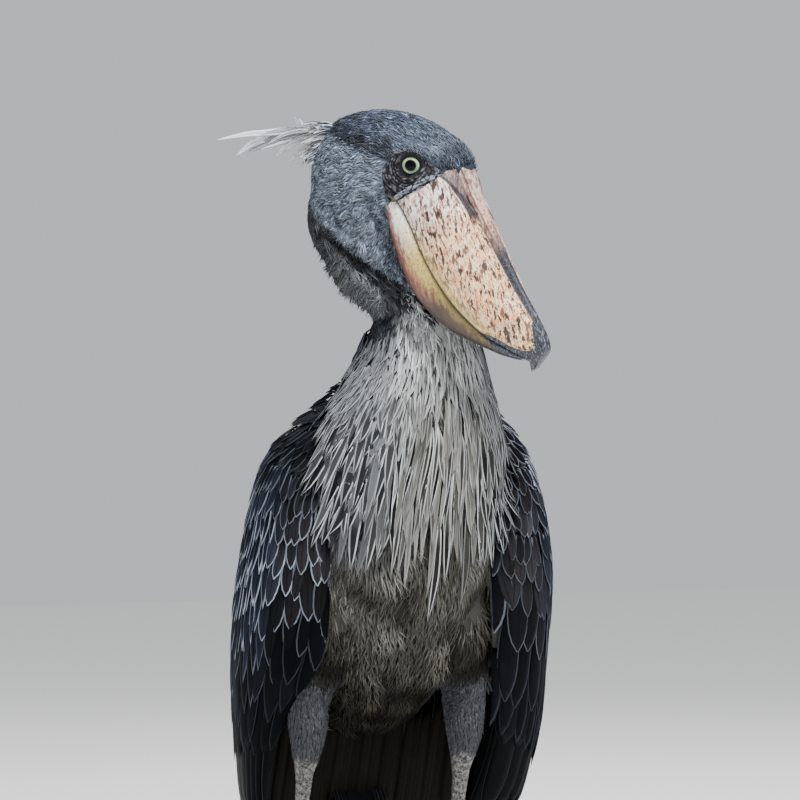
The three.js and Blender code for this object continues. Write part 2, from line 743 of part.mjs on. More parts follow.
// Every part by name. The body is whole from vent to crown, then parted at the neck's two ends,
// and what grows from it is cut clear of it.
const parts = {};
const { steps, sides } = TRUNK_RINGS;
const trunk = join([trunkTube(0, NECK.low, steps, sides), ...breastPlumes()]);
const neck = trunkTube(NECK.low, NECK.high, 5, NECK.sides);
const neckTop = trunkTube(NECK.high, 1, 3, NECK.sides);
parts.torso = largest(trunk.subtract(cutAcross(NECK.low)));
parts.neck = largest(neck.subtract(cutAcross(NECK.low)).subtract(cutAcross(NECK.high)));

const crest = CREST_FEATHERS.map(crestFeather);
let head = join([skull(), neckTop, lids(1), lids(-1), ...crest]);
for (const socket of [upperSocket, lowerSocket, cutAcross(NECK.high)]) head = head.subtract(socket);
for (const side of [1, -1]) head = head.subtract(ball(eyeMiddle(side), EYE.radius + GAP));
parts.head = largest(head);
parts.bill_upper = upperBill;
parts.bill_lower = lowerBill;

const trunkClear = trunkTube(0, NECK.low, steps, sides, GAP);
parts.tail = largest(join([tailCore(), ...tailFeathers()]).subtract(trunkClear));
for (const [name, side] of [["left", 1], ["right", -1]]) {
  parts["eye_" + name] = ball(eyeMiddle(side), EYE.radius);
  const wing = join([wingShell(name), ...wingFeathers(name)]);
  parts["wing_" + name] = largest(wing.subtract(trunkClear).subtract(limb(grown(THIGH), side)));
  parts["thigh_" + name] = largest(limb(THIGH, side).subtract(trunkClear));
  parts["shank_" + name] = limb(SHANK, side);
  TOES.forEach((toe, i) => {
    const place = `${name}_${i + 1}`;
    parts["toe_" + place] = largest(toeSolid(side, toe).subtract(limb(grown(SHANK), side)));
    parts["claw_" + place] = clawSolid(side, toe);
  });
}

// Colour and finish of each kind of surface.
const FINISHES = {
  head: [0x5b6a7c, 0.85],
  neck: [0x969ba2, 0.85],
  torso: [0x7d7a76, 0.9],
  wing: [0x3a424f, 0.8],
  tail: [0x2c3038, 0.8],
  thigh: [0x84898f, 0.9],
  shank: [0x2b2a2c, 0.6],
  toe: [0x2b2a2c, 0.6],
  claw: [0x17181b, 0.4],
  bill: [0xcfa283, 0.45],
  eye: [0xaebd9f, 0.1],
};
const finishes = Object.fromEntries(
  Object.entries(FINISHES).map(([kind, [color, roughness]]) => [
    kind,
    new THREE.MeshStandardMaterial({ color, roughness, metalness: 0 }),
  ]),
);

const group = new THREE.Group();
for (const [name, made] of Object.entries(parts)) {
  const mesh = made.getMesh();
  const geometry = new THREE.BufferGeometry();
  geometry.setAttribute("position", new THREE.BufferAttribute(new Float32Array(mesh.vertProperties), 3));
  geometry.setIndex(new THREE.BufferAttribute(mesh.triVerts, 1));
  const shown = new THREE.Mesh(geometry, finishes[name.split("_")[0]]);
  shown.name = name;
  group.add(shown);
}
// The middle of the bounding box, at floor level, is the part's origin.
group.position.set(-MIDDLE.x, MIDDLE.f, 0);
export default group;
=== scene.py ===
"""A shoebill standing at rest, life size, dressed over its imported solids.

Shapes are worked out in millimetres in the bird's stance: x to its left, y to its back, z up,
with the floor at z = 0. The head has its own axes: F along the bill, U up from it, L to the left.
"""
import math
from functools import partial

import bpy
import numpy as np
from numpy import (
    arange, arctan2, array, broadcast_to, clip, cross, cumsum, diff, exp, full, hypot, interp,
    isfinite, linspace, maximum, minimum, moveaxis, radians, stack, tile,
)
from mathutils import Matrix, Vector
from mathutils.bvhtree import BVHTree
from mathutils.kdtree import KDTree


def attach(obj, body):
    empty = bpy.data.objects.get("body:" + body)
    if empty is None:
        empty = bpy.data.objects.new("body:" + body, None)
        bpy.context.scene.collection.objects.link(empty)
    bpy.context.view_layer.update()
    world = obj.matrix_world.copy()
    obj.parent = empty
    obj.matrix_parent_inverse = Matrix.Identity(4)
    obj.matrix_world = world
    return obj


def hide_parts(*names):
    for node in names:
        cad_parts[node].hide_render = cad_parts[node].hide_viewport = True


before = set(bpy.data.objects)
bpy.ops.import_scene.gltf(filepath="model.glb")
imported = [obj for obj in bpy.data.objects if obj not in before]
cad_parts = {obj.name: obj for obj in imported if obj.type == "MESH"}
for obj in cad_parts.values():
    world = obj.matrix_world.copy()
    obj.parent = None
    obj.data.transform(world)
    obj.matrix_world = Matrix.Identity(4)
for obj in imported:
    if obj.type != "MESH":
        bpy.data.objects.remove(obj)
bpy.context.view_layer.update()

bl_info = {
    "name": "Shoebill",
    "version": (1, 0, 0),
    "blender": (4, 5, 0),
    "location": "3D View > Sidebar > Shoebill",
    "description": "Builds a life-size shoebill with its plumage, and a plain stage",
    "category": "Add Mesh",
}

# Sizes shared with the solids, in millimetres.
STANCE_SHIFT = -31  # from the stance to the part's frame, along y
GAP = 0.3
BILL_LENGTH = 240
HEAD_AT = (-22, 68, 945)
HEAD_TURN = math.radians(44)
HEAD_DROP = math.radians(53.7)
EYE = {"F": 5.2, "U": 62.3, "L": 36.6, "radius": 13}
EYE_LOOK = (0.28, 0.2, 0.94)
LEG_X = 88
FOOT_F = 6
# The trunk and neck from vent to head: sideways, forward, up, half width, half depth.
TRUNK = array([
    [0, -158, 350, 26, 20], [0, -128, 380, 60, 48], [0, -92, 422, 88, 80], [0, -54, 472, 108, 104],
    [0, -15, 530, 118, 120], [2, 22, 590, 120, 120], [5, 46, 645, 112, 103], [14, 57, 695, 100, 84],
    [19, 60, 738, 82, 70], [22, 59, 782, 65, 60], [21, 46, 826, 53, 46], [5, 35, 862, 55, 42],
    [-16, 38, 890, 54, 44], [-38, 48, 914, 50, 50],
], float)
# The head's outline from the side: angle in degrees, radius.
HEAD_OUTLINE = [
    (-180, 87), (-150, 85), (-125, 82), (-100, 95), (-80, 103), (-60, 92), (-35, 62), (0, 46),
    (35, 66), (60, 110), (72, 113), (85, 103), (100, 94), (120, 86), (150, 83), (180, 87),
]
HEAD_CORE = (-10, 2)
CULMEN = [(0, 102), (35, 99), (60, 93), (116, 84), (169, 76), (218, 71), (240, 66), (252, 56), (259, 38)]
MOUTH = [(0, 29), (19, 28), (54, 26), (101, 18), (149, 15), (192, 20), (223, 32), (245, 40), (259, 33)]
CHIN = [(0, 9), (30, 2), (55, -9), (111, -21), (161, -14), (215, 15), (232, 28), (240, 36)]
BILL_WIDTH = [(0, 44), (60, 48), (110, 48), (150, 43), (185, 34), (215, 24), (238, 14), (250, 9), (259, 2.4)]
RIDGE_WIDTH = [(0, 15), (45, 13), (70, 11.5), (98, 9), (131, 6), (170, 4.5), (205, 4), (259, 2)]
FACE = {"upper": 28.5, "lower": 36, "slope": 0.13, "above": 30, "fades": 50}
CREST = {"F": -91, "U": -8}
# The folded wing from shoulder to tip: its belly edge, outermost line and back edge.
WING = {
    "belly": [(66, 66, 706), (88, 80, 640), (86, 84, 550), (78, 58, 455), (94, -26, 355),
        (86, -112, 255), (60, -222, 160)],
    "outer": [(76, 14, 736), (130, 8, 668), (156, 2, 565), (155, -18, 455), (143, -66, 345),
        (114, -150, 240), (68, -240, 158)],
    "back": [(44, -18, 748), (46, -80, 686), (42, -134, 592), (38, -174, 500), (38, -210, 405),
        (48, -242, 298), (56, -266, 182)],
}
# How much further out each wing hangs.
HANGS = {
    1: {"belly": [0, 4, 6, 24, 30, 30, 12], "outer": [18, 23, 26, 30, 48, 66, 28]},
    -1: {"belly": [-8, -2, 0, 10, 16, 8, 0], "outer": [-38, -6, -6, -1, -6, -8, -6]},
}
WING_THICK = [30, 46, 40, 24, 12, 8, 5]
WING_TURN = 0.4
WING_CORE_END = 0.56
TAIL = {"F": -140, "Z": 378, "length": 235, "slope": math.radians(55), "fan": 9, "spread": 16}
TAIL_CORE = [(-0.3, 40, 22), (0, 42, 26), (0.2, 36, 18), (0.45, 22, 5)]
# Legs: up, forward, half width, half depth.
THIGH = [(462, 0, 34, 42), (430, 4, 30, 38), (405, 6, 25, 31), (375, 8, 21, 26), (350, 4, 16, 20),
    (332, -2, 12, 14), (320, -6, 10.5, 12)]
SHANK = [
    (364, 6, 12, 16), (350, 4, 13.4, 17.4), (338, 0, 11.8, 14.6), (328, -4, 9.6, 11.6),
    (318, -6, 8.8, 10.3), (300, -12, 8, 9), (278, -18, 9, 10.5), (262, -22, 12, 15),
    (246, -22, 12.5, 15), (230, -19, 9, 10.5), (200, -15, 7.6, 9), (120, -4, 7.2, 8.5), (60, 4, 7.8, 9),
    (34, 7, 10, 11), (14, 6, 14, 14), (0, 6, 11, 11),
]
# Toes: turn, length, half width, height, joints.
TOES = [(176, 84, 8, 14, 2), (-30, 128, 8, 15, 3), (2, 168, 8.5, 16, 4), (35, 138, 8, 15, 4)]
FOOT_TURN = 6
CLAW = {"length": 26, "wide": 4, "tall": 8, "curl": 1.35}
# The crease between the cheek and the throat, as F and U.
JAW_CREASE = [(-8, -60), (11, -57), (32, -52), (54, -45.6), (75, -38), (93, -31)]
# Swellings under the head, the chin and the loose nape: F, U, half height, half width.
CHIN_BAG = [(-14, -35, 38, 42), (20, -33, 40, 40), (45, -32, 31, 32), (70, -30, 22, 24), (95, -27, 12, 15),
    (108, -22, 3, 6)]
NAPE_BAG = [(-8, -64, 15, 34), (10, -68, 20, 38), (35, -71, 21, 39), (60, -71, 19, 37), (80, -67, 16, 33),
    (98, -62, 11, 25)]
# Round bars of flesh on each side of the head: F, U, L, radius.
JOWL = [(-4, -50, 30, 7), (18, -47, 31.5, 9.5), (40, -41, 28, 9.5), (58, -34, 23, 8.5), (75, -27, 18, 7.5),
    (90, -21, 12, 5)]
BROW = [(-16, 58, 39, 3), (-4, 73, 37, 6.5), (8, 82, 35.5, 7.5), (20, 87, 32, 6.5), (31, 92, 25, 4)]
ORBIT = [(-8, 48, 37, 4), (3, 45, 36.5, 5), (16, 52, 35.5, 4)]
SIDES = (("left", 1), ("right", -1))
HEAD_COAT = 3.6  # how deep the head's skin lies under its feathers

# Outlines of feathers: share of the length, share of the full half width.
LEAF = [(0, 0.45), (0.3, 0.85), (0.6, 1), (0.85, 0.7), (1, 0.1)]
LANCE = [(0, 0.5), (0.3, 0.95), (0.55, 1), (0.8, 0.62), (1, 0.05)]
ROUND = [(0, 0.55), (0.3, 0.9), (0.7, 1), (0.9, 0.72), (1, 0.2)]
QUILL = [(0, 0.6), (0.3, 0.95), (0.8, 1), (0.93, 0.75), (1, 0.2)]
WISP = [(0, 0.6), (0.4, 1), (0.8, 0.55), (1, 0.08)]


def at(x, f, z):
    """Points from sideways (left), forward and up."""
    x, f, z = np.broadcast_arrays(x, f, z)
    return stack([x, -f, z], -1).astype(float)


def unit(v):
    return v / maximum(np.linalg.norm(v, axis=-1, keepdims=True), 1e-9)


def dot(a, b):
    return (a * b).sum(-1)


def level(ways, out):
    """Ways laid flat on a skin whose outward ways are given."""
    return unit(ways - out * dot(ways, out)[..., None])


def join(*rows, axis=0):
    return np.concatenate(rows, axis)


def pairs(a, b):
    return stack(np.broadcast_arrays(a, b), -1)


def through(values, t):
    """A smooth run through rows of numbers spaced evenly in t, from 0 to 1."""
    values = np.asarray(values, float)
    last = len(values) - 1
    place = clip(t, 0, 1) * last
    i = minimum(place.astype(int), last - 1)
    u = place - i
    if values.ndim > 1:
        u = u[..., None]
    before, p, q, after = (values[clip(i + k, 0, last)] for k in (-1, 0, 1, 2))
    bend = 2 * before - 5 * p + 4 * q - after
    return 0.5 * (2 * p + (q - before) * u + bend * u * u + (3 * p - before - 3 * q + after) * u ** 3)


def profile(pairs, place):
    """A smooth run through (place, value) pairs."""
    x, y = array(pairs, float).T
    place = clip(place, x[0], x[-1])
    i = clip(np.searchsorted(x, place, side="right") - 1, 0, len(x) - 2)
    lo, hi = maximum(arange(len(x)) - 1, 0), minimum(arange(len(x)) + 1, len(x) - 1)
    slope = (y[hi] - y[lo]) / (x[hi] - x[lo])
    h = x[i + 1] - x[i]
    t = (place - x[i]) / h
    rise = t * t * (3 - 2 * t)
    return y[i] + (y[i + 1] - y[i]) * rise + h * (t * (1 - t) ** 2 * slope[i] - t * t * (1 - t)
        * slope[i + 1])


def smooth(x, low, high):
    t = clip((x - low) / (high - low), 0, 1)
    return t * t * (3 - 2 * t)


def bell(x, middle, wide):
    return exp(-((x - middle) / wide) ** 2)


def shares(count):
    return linspace(0, 1, count)


def crossed(a, b):
    """Every a with every b, as two grids."""
    return np.meshgrid(a, b, indexing="ij")


def mix(a, b, share):
    share = np.asarray(share, float)
    if share.ndim and np.ndim(a) + np.ndim(b) > 0:
        share = share[..., None]
    return np.asarray(a) * (1 - share) + np.asarray(b) * share


def trunk_middle(t):
    x, f, z = moveaxis(through(TRUNK[:, :3], t), -1, 0)
    return at(x, f, z)


def trunk_skin(t, turn, lift=0):
    """t runs from vent to head, turn from the left side (0) over the front (90) to the right."""
    t = np.asarray(t, float)
    along = unit(trunk_middle(minimum(t + 0.01, 1)) - trunk_middle(maximum(t - 0.01, 0)))
    side = unit(array([1, 0, 0]) - along * along[..., :1])
    front = cross(side, along)
    wide, deep = moveaxis(through(TRUNK[:, 3:], t), -1, 0)
    angle = radians(turn)
    across = ((wide + lift) * np.cos(angle))[..., None] * side
    return trunk_middle(t) + across + ((deep + lift) * np.sin(angle))[..., None] * front


def coat_depth(t):
    """How deep the skin lies under the trunk's and neck's feathers."""
    return interp(t, [0, 0.3, 0.62, 0.85, 1], [9, 9, 8, 5, 3])


BILL_WAY = at(math.cos(HEAD_DROP) * math.sin(HEAD_TURN), math.cos(HEAD_DROP) * math.cos(HEAD_TURN),
    -math.sin(HEAD_DROP))
CROWN_WAY = at(math.sin(HEAD_DROP) * math.sin(HEAD_TURN), math.sin(HEAD_DROP) * math.cos(HEAD_TURN),
    math.cos(HEAD_DROP))
LEFT_WAY = at(math.cos(HEAD_TURN), -math.sin(HEAD_TURN), 0)
HEAD_AXES = stack([BILL_WAY, CROWN_WAY, LEFT_WAY])
HEAD_MIDDLE = at(*HEAD_AT)


def on_head(F, U, L):
    F, U, L = np.broadcast_arrays(F, U, L)
    return HEAD_MIDDLE + stack([F, U, L], -1) @ HEAD_AXES


def in_head(points):
    """The head's own F, U and L of points of the stance."""
    return moveaxis((points - HEAD_MIDDLE) @ HEAD_AXES.T, -1, 0)


def crown_share(F, U):
    """1 on the dark crown, 0 below the brow line that runs from the nape to the eye."""
    return smooth(U - (50 + 0.57 * F), -1.5, 1.5)


def head_skin(latitude, angle, lift=0, cap=0):
    reach = (profile(HEAD_OUTLINE, angle) + lift) * np.cos(latitude)
    F = HEAD_CORE[0] + reach * np.cos(radians(angle))
    U = HEAD_CORE[1] + reach * np.sin(radians(angle))
    crown = clip((U - 40) / 70, 0, 1)
    wide = 53 - 8 * crown ** 2 - 8 * clip((-U - 30) / 80, 0, 1) - 7 * clip((-F - 40) / 70, 0, 1)
    L = (wide + lift) * np.sin(latitude)
    point = on_head(F, U, L)
    if cap:
        point = point + unit(point - on_head(*HEAD_CORE, 0)) * (cap * crown_share(F, U))[..., None]
    return point


def wing_point(side, s, v):
    """A point of the wing's outer side: s from shoulder to tip, v from belly edge to back edge."""
    edge = {k: through(rows, s) for k, rows in WING.items()}
    for k, rows in HANGS[side].items():
        edge[k] = edge[k] + through(rows, s)[..., None] * array([1, 0, 0])
    front = v < WING_TURN
    near = np.where(front[..., None], edge["belly"], edge["back"])
    angle = np.where(front, v / WING_TURN, (1 - v) / (1 - WING_TURN)) * math.pi / 2
    way = stack([np.sin(angle), 1 - np.cos(angle), np.sin(angle) ** 2], -1)
    x, f, z = moveaxis(near + (edge["outer"] - near) * way, -1, 0)
    return at(side * x, f, z)


def wing_skin(side, s, v, lift=0):
    s, v = clip(s, 0, 1), clip(v, 0, 1)
    along = wing_point(side, minimum(s + 0.01, 1), v) - wing_point(side, maximum(s - 0.01, 0), v)
    across = wing_point(side, s, minimum(v + 0.01, 1)) - wing_point(side, s, maximum(v - 0.01, 0))
    normal = unit(cross(along, across)) * side
    return wing_point(side, s, v) + normal * np.asarray(lift)[..., None]


TAIL_WAY = at(0, -math.cos(TAIL["slope"]), -math.sin(TAIL["slope"]))
TAIL_UP = at(0, -math.sin(TAIL["slope"]), math.cos(TAIL["slope"]))


def on_tail(along, across, lift):
    along, across, lift = (np.asarray(k, float)[..., None] for k in np.broadcast_arrays(along, across, lift))
    return at(0, TAIL["F"], TAIL["Z"]) + TAIL_WAY * along + at(1, 0, 0) * across + TAIL_UP * lift


def limb_skin(stations, side, share, turn, lift=0):
    """A leg: share runs over the stations, turn round it in degrees."""
    z, f, wide, deep = moveaxis(through(array(stations, float), share), -1, 0)
    angle = radians(turn)
    return at(side * LEG_X + (wide + lift) * np.cos(angle), f + (deep + lift) * np.sin(angle), z)


def eye_way(side):
    way = EYE_LOOK[0] * BILL_WAY + EYE_LOOK[1] * CROWN_WAY + EYE_LOOK[2] * side * LEFT_WAY
    return unit(way)


def eye_middle(side):
    return on_head(EYE["F"], EYE["U"], EYE["L"] * side)


def grid_faces(rows, columns, closed=False):
    """Quads between rows of points, wrapping round when closed."""
    i = arange(rows - 1)[:, None]
    j = arange(columns if closed else columns - 1)[None, :]
    a, b = i * columns + j, i * columns + (j + 1) % columns
    return stack([a, b, b + columns, a + columns], -1).reshape(-1, 4)


def tube(rings):
    """Points and faces of closed rings (rows, columns, 3), capped at both ends."""
    rows, columns = rings.shape[:2]
    points = join(rings.reshape(-1, 3), rings[:1].mean(1), rings[-1:].mean(1))
    faces = grid_faces(rows, columns, closed=True)
    j = arange(columns)
    k = (j + 1) % columns
    hub = full(columns, rows * columns)
    last = (rows - 1) * columns
    start = stack([k, j, hub, hub], -1)
    end = stack([last + j, last + k, hub + 1, hub + 1], -1)
    return points, join(faces, start, end)


def lens(rows, columns):
    """Quads of a thin closed vane: a top grid, and an underside that shares the top's border."""
    top = arange(rows * columns).reshape(rows, columns)
    under = top.copy()
    inner = (rows - 2) * (columns - 2)
    under[1:-1, 1:-1] = rows * columns + arange(inner).reshape(rows - 2, columns - 2)

    def quads(grid):
        return stack([grid[:-1, :-1], grid[:-1, 1:], grid[1:, 1:], grid[1:, :-1]], -1).reshape(-1, 4)

    return join(quads(top), quads(under)[:, ::-1])


def merged(shapes):
    """Several (points, faces) as one."""
    points, faces, start = [], [], 0
    for p, f in shapes:
        points.append(p)
        faces.append(f + start)
        start += len(p)
    return np.concatenate(points), np.concatenate(faces)


def new_object(name, points, faces, layers=None, shift=True):
    """A mesh object from points in millimetres, faces (a triangle repeats its last corner), point layers."""
    mesh = bpy.data.meshes.new(name)
    place = points / 1000
    if shift:
        place = place + array([0, STANCE_SHIFT / 1000, 0])
    triangle = faces[:, 2] == faces[:, 3]
    sizes = np.where(triangle, 3, 4)
    keep = np.ones(faces.shape, bool)
    keep[:, 3] = ~triangle
    corners = faces[keep]
    mesh.vertices.add(len(place))
    mesh.vertices.foreach_set("co", place.astype(np.float32).ravel())
    mesh.loops.add(len(corners))
    mesh.loops.foreach_set("vertex_index", corners.astype(np.int32))
    mesh.polygons.add(len(faces))
    mesh.polygons.foreach_set("loop_start", join([0], cumsum(sizes)[:-1]).astype(np.int32))
    mesh.polygons.foreach_set("use_smooth", np.ones(len(faces), bool))
    for key, values in (layers or {}).items():
        values = np.asarray(values, np.float32)
        kind, field = ("FLOAT_VECTOR", "vector") if values.ndim > 1 else ("FLOAT", "value")
        if key == "OFBake":
            mesh.uv_layers.new(name=key).data.foreach_set("uv", values[corners].ravel())
            continue
        if key == "tint":
            kind, field = "FLOAT_COLOR", "color"
            values = join(values, np.ones((len(values), 1), np.float32), axis=1)
        mesh.attributes.new(key, kind, "POINT").data.foreach_set(field, values.ravel())
    mesh.update(calc_edges=True)
    obj = bpy.data.objects.new(name, mesh)
    bpy.context.scene.collection.objects.link(obj)
    return obj


def settled(obj, *nodes, slot=None, finish=None):
    """Puts a piece on the model, for the solids that it stands for."""
    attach(obj, "root")
    if nodes:
        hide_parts(*nodes)
    if finish:
        obj.data.materials.clear()
        obj.data.materials.append(finish)
    return obj


def remeshed(name, points, faces, voxel, rounds):
    """One closed surface round overlapping shapes, in millimetres."""
    rough = new_object(name + "_rough", points, faces, shift=False)
    join = rough.modifiers.new("join", "REMESH")
    join.mode = "VOXEL"
    join.voxel_size = voxel / 1000
    ease = rough.modifiers.new("ease", "SMOOTH")
    ease.factor = 0.5
    ease.iterations = rounds
    done = rough.evaluated_get(bpy.context.evaluated_depsgraph_get())
    mesh = done.to_mesh()
    co = np.empty(len(mesh.vertices) * 3, np.float32)
    mesh.vertices.foreach_get("co", co)
    corners = np.empty(len(mesh.loops), np.int32)
    mesh.loops.foreach_get("vertex_index", corners)
    done.to_mesh_clear()
    bpy.data.objects.remove(rough)
    return co.reshape(-1, 3).astype(float) * 1000, corners.reshape(-1, 4)


def normals_of(points, faces):
    a, b, c, d = (points[faces[:, k]] for k in range(4))
    flat = cross(c - a, d - b)
    total = np.zeros_like(points)
    for k in range(4):
        np.add.at(total, faces[:, k], flat)
    return unit(total)


class Surface:
    """A closed mesh that can be asked for its nearest points."""

    def __init__(self, points, faces):
        self.points = points
        self.normals = normals_of(points, faces)
        if self.normals[points[:, 2].argmax(), 2] < 0:
            self.normals = -self.normals
        self.tree = BVHTree.FromPolygons(points.tolist(), faces.tolist())
        self.faces = faces

    def nearest(self, places):
        spot = np.empty_like(places)
        out = np.empty_like(places)
        far = np.empty(len(places))
        for i, place in enumerate(places.tolist()):
            where, _, face, distance = self.tree.find_nearest(place)
            spot[i] = where
            out[i] = self.normals[self.faces[face]].mean(0)
            far[i] = distance
        return spot, unit(out), far

    def inside(self, places):
        spot, out, _ = self.nearest(places)
        return dot(places - spot, out) < 0

    def rays(self, starts, way):
        """Where rays first meet the surface; rays that miss it give no numbers."""
        way = Vector(way)
        hits = full(starts.shape, np.nan)
        for i, start in enumerate(starts.tolist()):
            where = self.tree.ray_cast(start, way)[0]
            if where is not None:
                hits[i] = where
        return hits


MADE = {}  # surfaces that later pieces stand on


def over_body(points, lift):
    """Feathers' points, with rows raised where their middle lies less than lift above the body."""
    if points.ndim < 4:
        return points
    middle = points.shape[2] // 2
    centre = points[:, :, middle]
    spot, out, _ = MADE["body"].nearest(centre.reshape(-1, 3))
    low = broadcast_to(lift, points.shape[:-1])[:, :, middle].ravel() - dot(centre.reshape(-1, 3) - spot, out)
    up = (out * clip(low, 0, 30)[:, None]).reshape(centre.shape)
    up[:, 0] = 0  # the root stays under the skin
    for _ in range(2):
        up[:, 1:-1] = (up[:, :-2] + 2 * up[:, 1:-1] + up[:, 2:]) / 4
    return points + up[:, :, None]


def clumps(points, across, seed, count=16):
    """A soft random swell over space, about 1 high, with lumps of a given size in millimetres."""
    rng = np.random.default_rng(seed)
    way = unit(rng.normal(size=(count, 3))) * (2 * math.pi / (across * rng.uniform(1.4, 3.2, (count, 1))))
    phase = rng.uniform(0, 2 * math.pi, count)
    return np.sin(points @ way.T + phase).sum(-1) * math.sqrt(2 / count)


def lattice(skin, ps, qs, gaps, rng, jitter=0.38):
    """Roots spread evenly over a skin: rows along p, places along q, with gaps in millimetres."""
    fine = linspace(*ps, 60)
    middle = array([skin(fine, full(60, q)) for q in linspace(*qs, 7)])
    length = np.linalg.norm(diff(middle, axis=1), axis=-1).mean(0)
    travel = join([0], cumsum(length))
    rows = max(int(travel[-1] / gaps[0]), 1)
    out_p, out_q = [], []
    for row in range(rows):
        p = interp((row + 0.5) / rows * travel[-1], travel, fine)
        q_fine = linspace(*qs, 49)
        line = skin(full(49, p), q_fine)
        reach = join([0], cumsum(np.linalg.norm(diff(line, axis=0), axis=-1)))
        count = max(int(reach[-1] / gaps[1]), 3)
        share = (arange(count) + 0.5 * (row % 2) + rng.uniform(-jitter, jitter, count)) / count
        out_q.append(interp((share % 1) * reach[-1], reach, q_fine))
        step = (ps[1] - ps[0]) / rows
        out_p.append(p + rng.uniform(-jitter, jitter, count) * step)
    p = clip(np.concatenate(out_p), min(ps), max(ps))
    return p, np.concatenate(out_q)


class Coat:
    """Feathers of one piece, gathered and then made into one mesh."""

    def __init__(self):
        self.shapes, self.layers = [], []

    def add(self, points, faces, along, across, rim, chance, tint, root, patch=0.003, trim=1):
        """points is (feathers, corners, 3); along, across and rim are each corner's place on a feather."""
        n, corners = points.shape[:2]
        grid = stack([broadcast_to(across, (n, corners)) / 2, broadcast_to(along, (n, corners)) - 0.5], -1)
        self.shapes.append((points.reshape(-1, 3), (faces[None] + corners
            * arange(n)[:, None, None]).reshape(-1, 4)))
        self.layers.append({"along": broadcast_to(along, (n, corners)).ravel(),
            "across": broadcast_to(across, (n, corners)).ravel(), "rim": rim.ravel(),
            "chance": np.repeat(chance, corners), "trim": np.repeat(broadcast_to(trim, (n,)), corners),
            "tint": np.repeat(tint, corners, 0), "OFBake": clip(root[:, None] + grid * patch, 0,
            1).reshape(-1, 2)})

    def build(self, name, finish, slot, *nodes):
        points, faces = merged(self.shapes)
        layers = {k: np.concatenate([layer[k] for layer in self.layers]) for k in self.layers[0]}
        triangles = 2 * len(faces)
        if triangles > 199000:
            raise RuntimeError(f"{name} has {triangles} triangles")
        return settled(new_object(name, points, faces, layers), *nodes, slot=slot, finish=finish)


def shaped(skin_at, length, half, lift, rows, columns, shape, camber, thick, ragged=None):
    """Corners of n feathers. skin_at(along, across, lift) takes arrays of (n, rows, columns)."""
    along, across = crossed(shares(rows), linspace(-1, 1, columns))
    wide = profile(shape, along)
    n = len(length)
    reach = broadcast_to(along, (n, rows, columns)) * length[:, None, None]
    offset = broadcast_to(across * wide, (n, rows, columns)) * half[:, None, None]
    if ragged is not None:
        offset = offset * ragged
    high = lift[:, :, None] + camber[:, None, None] * (1 - across ** 2) * wide
    top = skin_at(reach, offset, high)
    low = skin_at(reach[:, 1:-1, 1:-1], offset[:, 1:-1, 1:-1], high[:, 1:-1, 1:-1] - thick * wide[1:-1, 1:-1])
    points = join(top.reshape(n, -1, 3), low.reshape(n, -1, 3), axis=1)
    reach = np.linalg.norm(top[:, :, -1] - top[:, :, 0], axis=-1)[..., None] / 2 * (1 - np.abs(across))
    rim = join(reach.reshape(n, -1), reach[:, 1:-1, 1:-1].reshape(n, -1), axis=1)
    both = [join(k.ravel(), k[1:-1, 1:-1].ravel()) for k in (along, across)]
    return points, lens(rows, columns), both[0], both[1], rim


def facing(points, faces, out):
    """The faces, turned over if the first feather's top looks inwards."""
    a, b, c, d = points[0][faces[len(faces) // 4]]
    return faces if dot(cross(c - a, d - b), out) > 0 else faces[:, ::-1]


def add_tufts(coat, tufts, rng, pick=slice(None), rows=3, sink=1.5, curve=160, twist=0.12, bow=0, hug=False,
        light=None):
    """Small feathers that start in the skin and lie along ways, tips standing off by stand. With light
    given, feathers darker than it have fainter hems."""
    roots, out, ways, length, half, stand, tint, unwrap = (k[pick] for k in tufts)
    n = len(roots)
    ways = level(ways, out)
    side = cross(ways, out)
    yaw = rng.normal(0, twist, n)[:, None]
    ways = unit(ways * np.cos(yaw) + side * np.sin(yaw))
    side = cross(ways, out)
    roll = rng.normal(0, 0.16, n)[:, None]
    side, lean = unit(side + out * roll), out
    steps = shares(rows)
    rise = interp(steps, [0, 0.4, 1], [0, 0.72, 1])
    lift = -sink + (stand + sink)[:, None] * rise
    sway = (rng.normal(0, 1, n) * bow)[:, None, None]

    def skin_at(p, q, high):
        drop = high - p * p / (2 * np.reshape(curve, (-1, 1, 1)))
        share = p / length[:, None, None]
        spots = (roots[:, None, None] + ways[:, None, None] * p[..., None] + side[:, None, None]
            * (q + sway * share * share)[..., None] + lean[:, None, None] * drop[..., None])
        return over_body(spots, high) if hug and spots.shape[1] > 2 else spots

    points, faces, along, across, rim = shaped(skin_at, length, half, lift, rows, 3, WISP, 0.25 * half,
        0.45)
    trim = 1 if light is None else clip(np.sqrt(tint.mean(-1) / light), 0.1, 1.1)
    coat.add(points, facing(points, faces, out[0]), along, across, rim, rng.random(n), tint, unwrap,
        trim=trim)


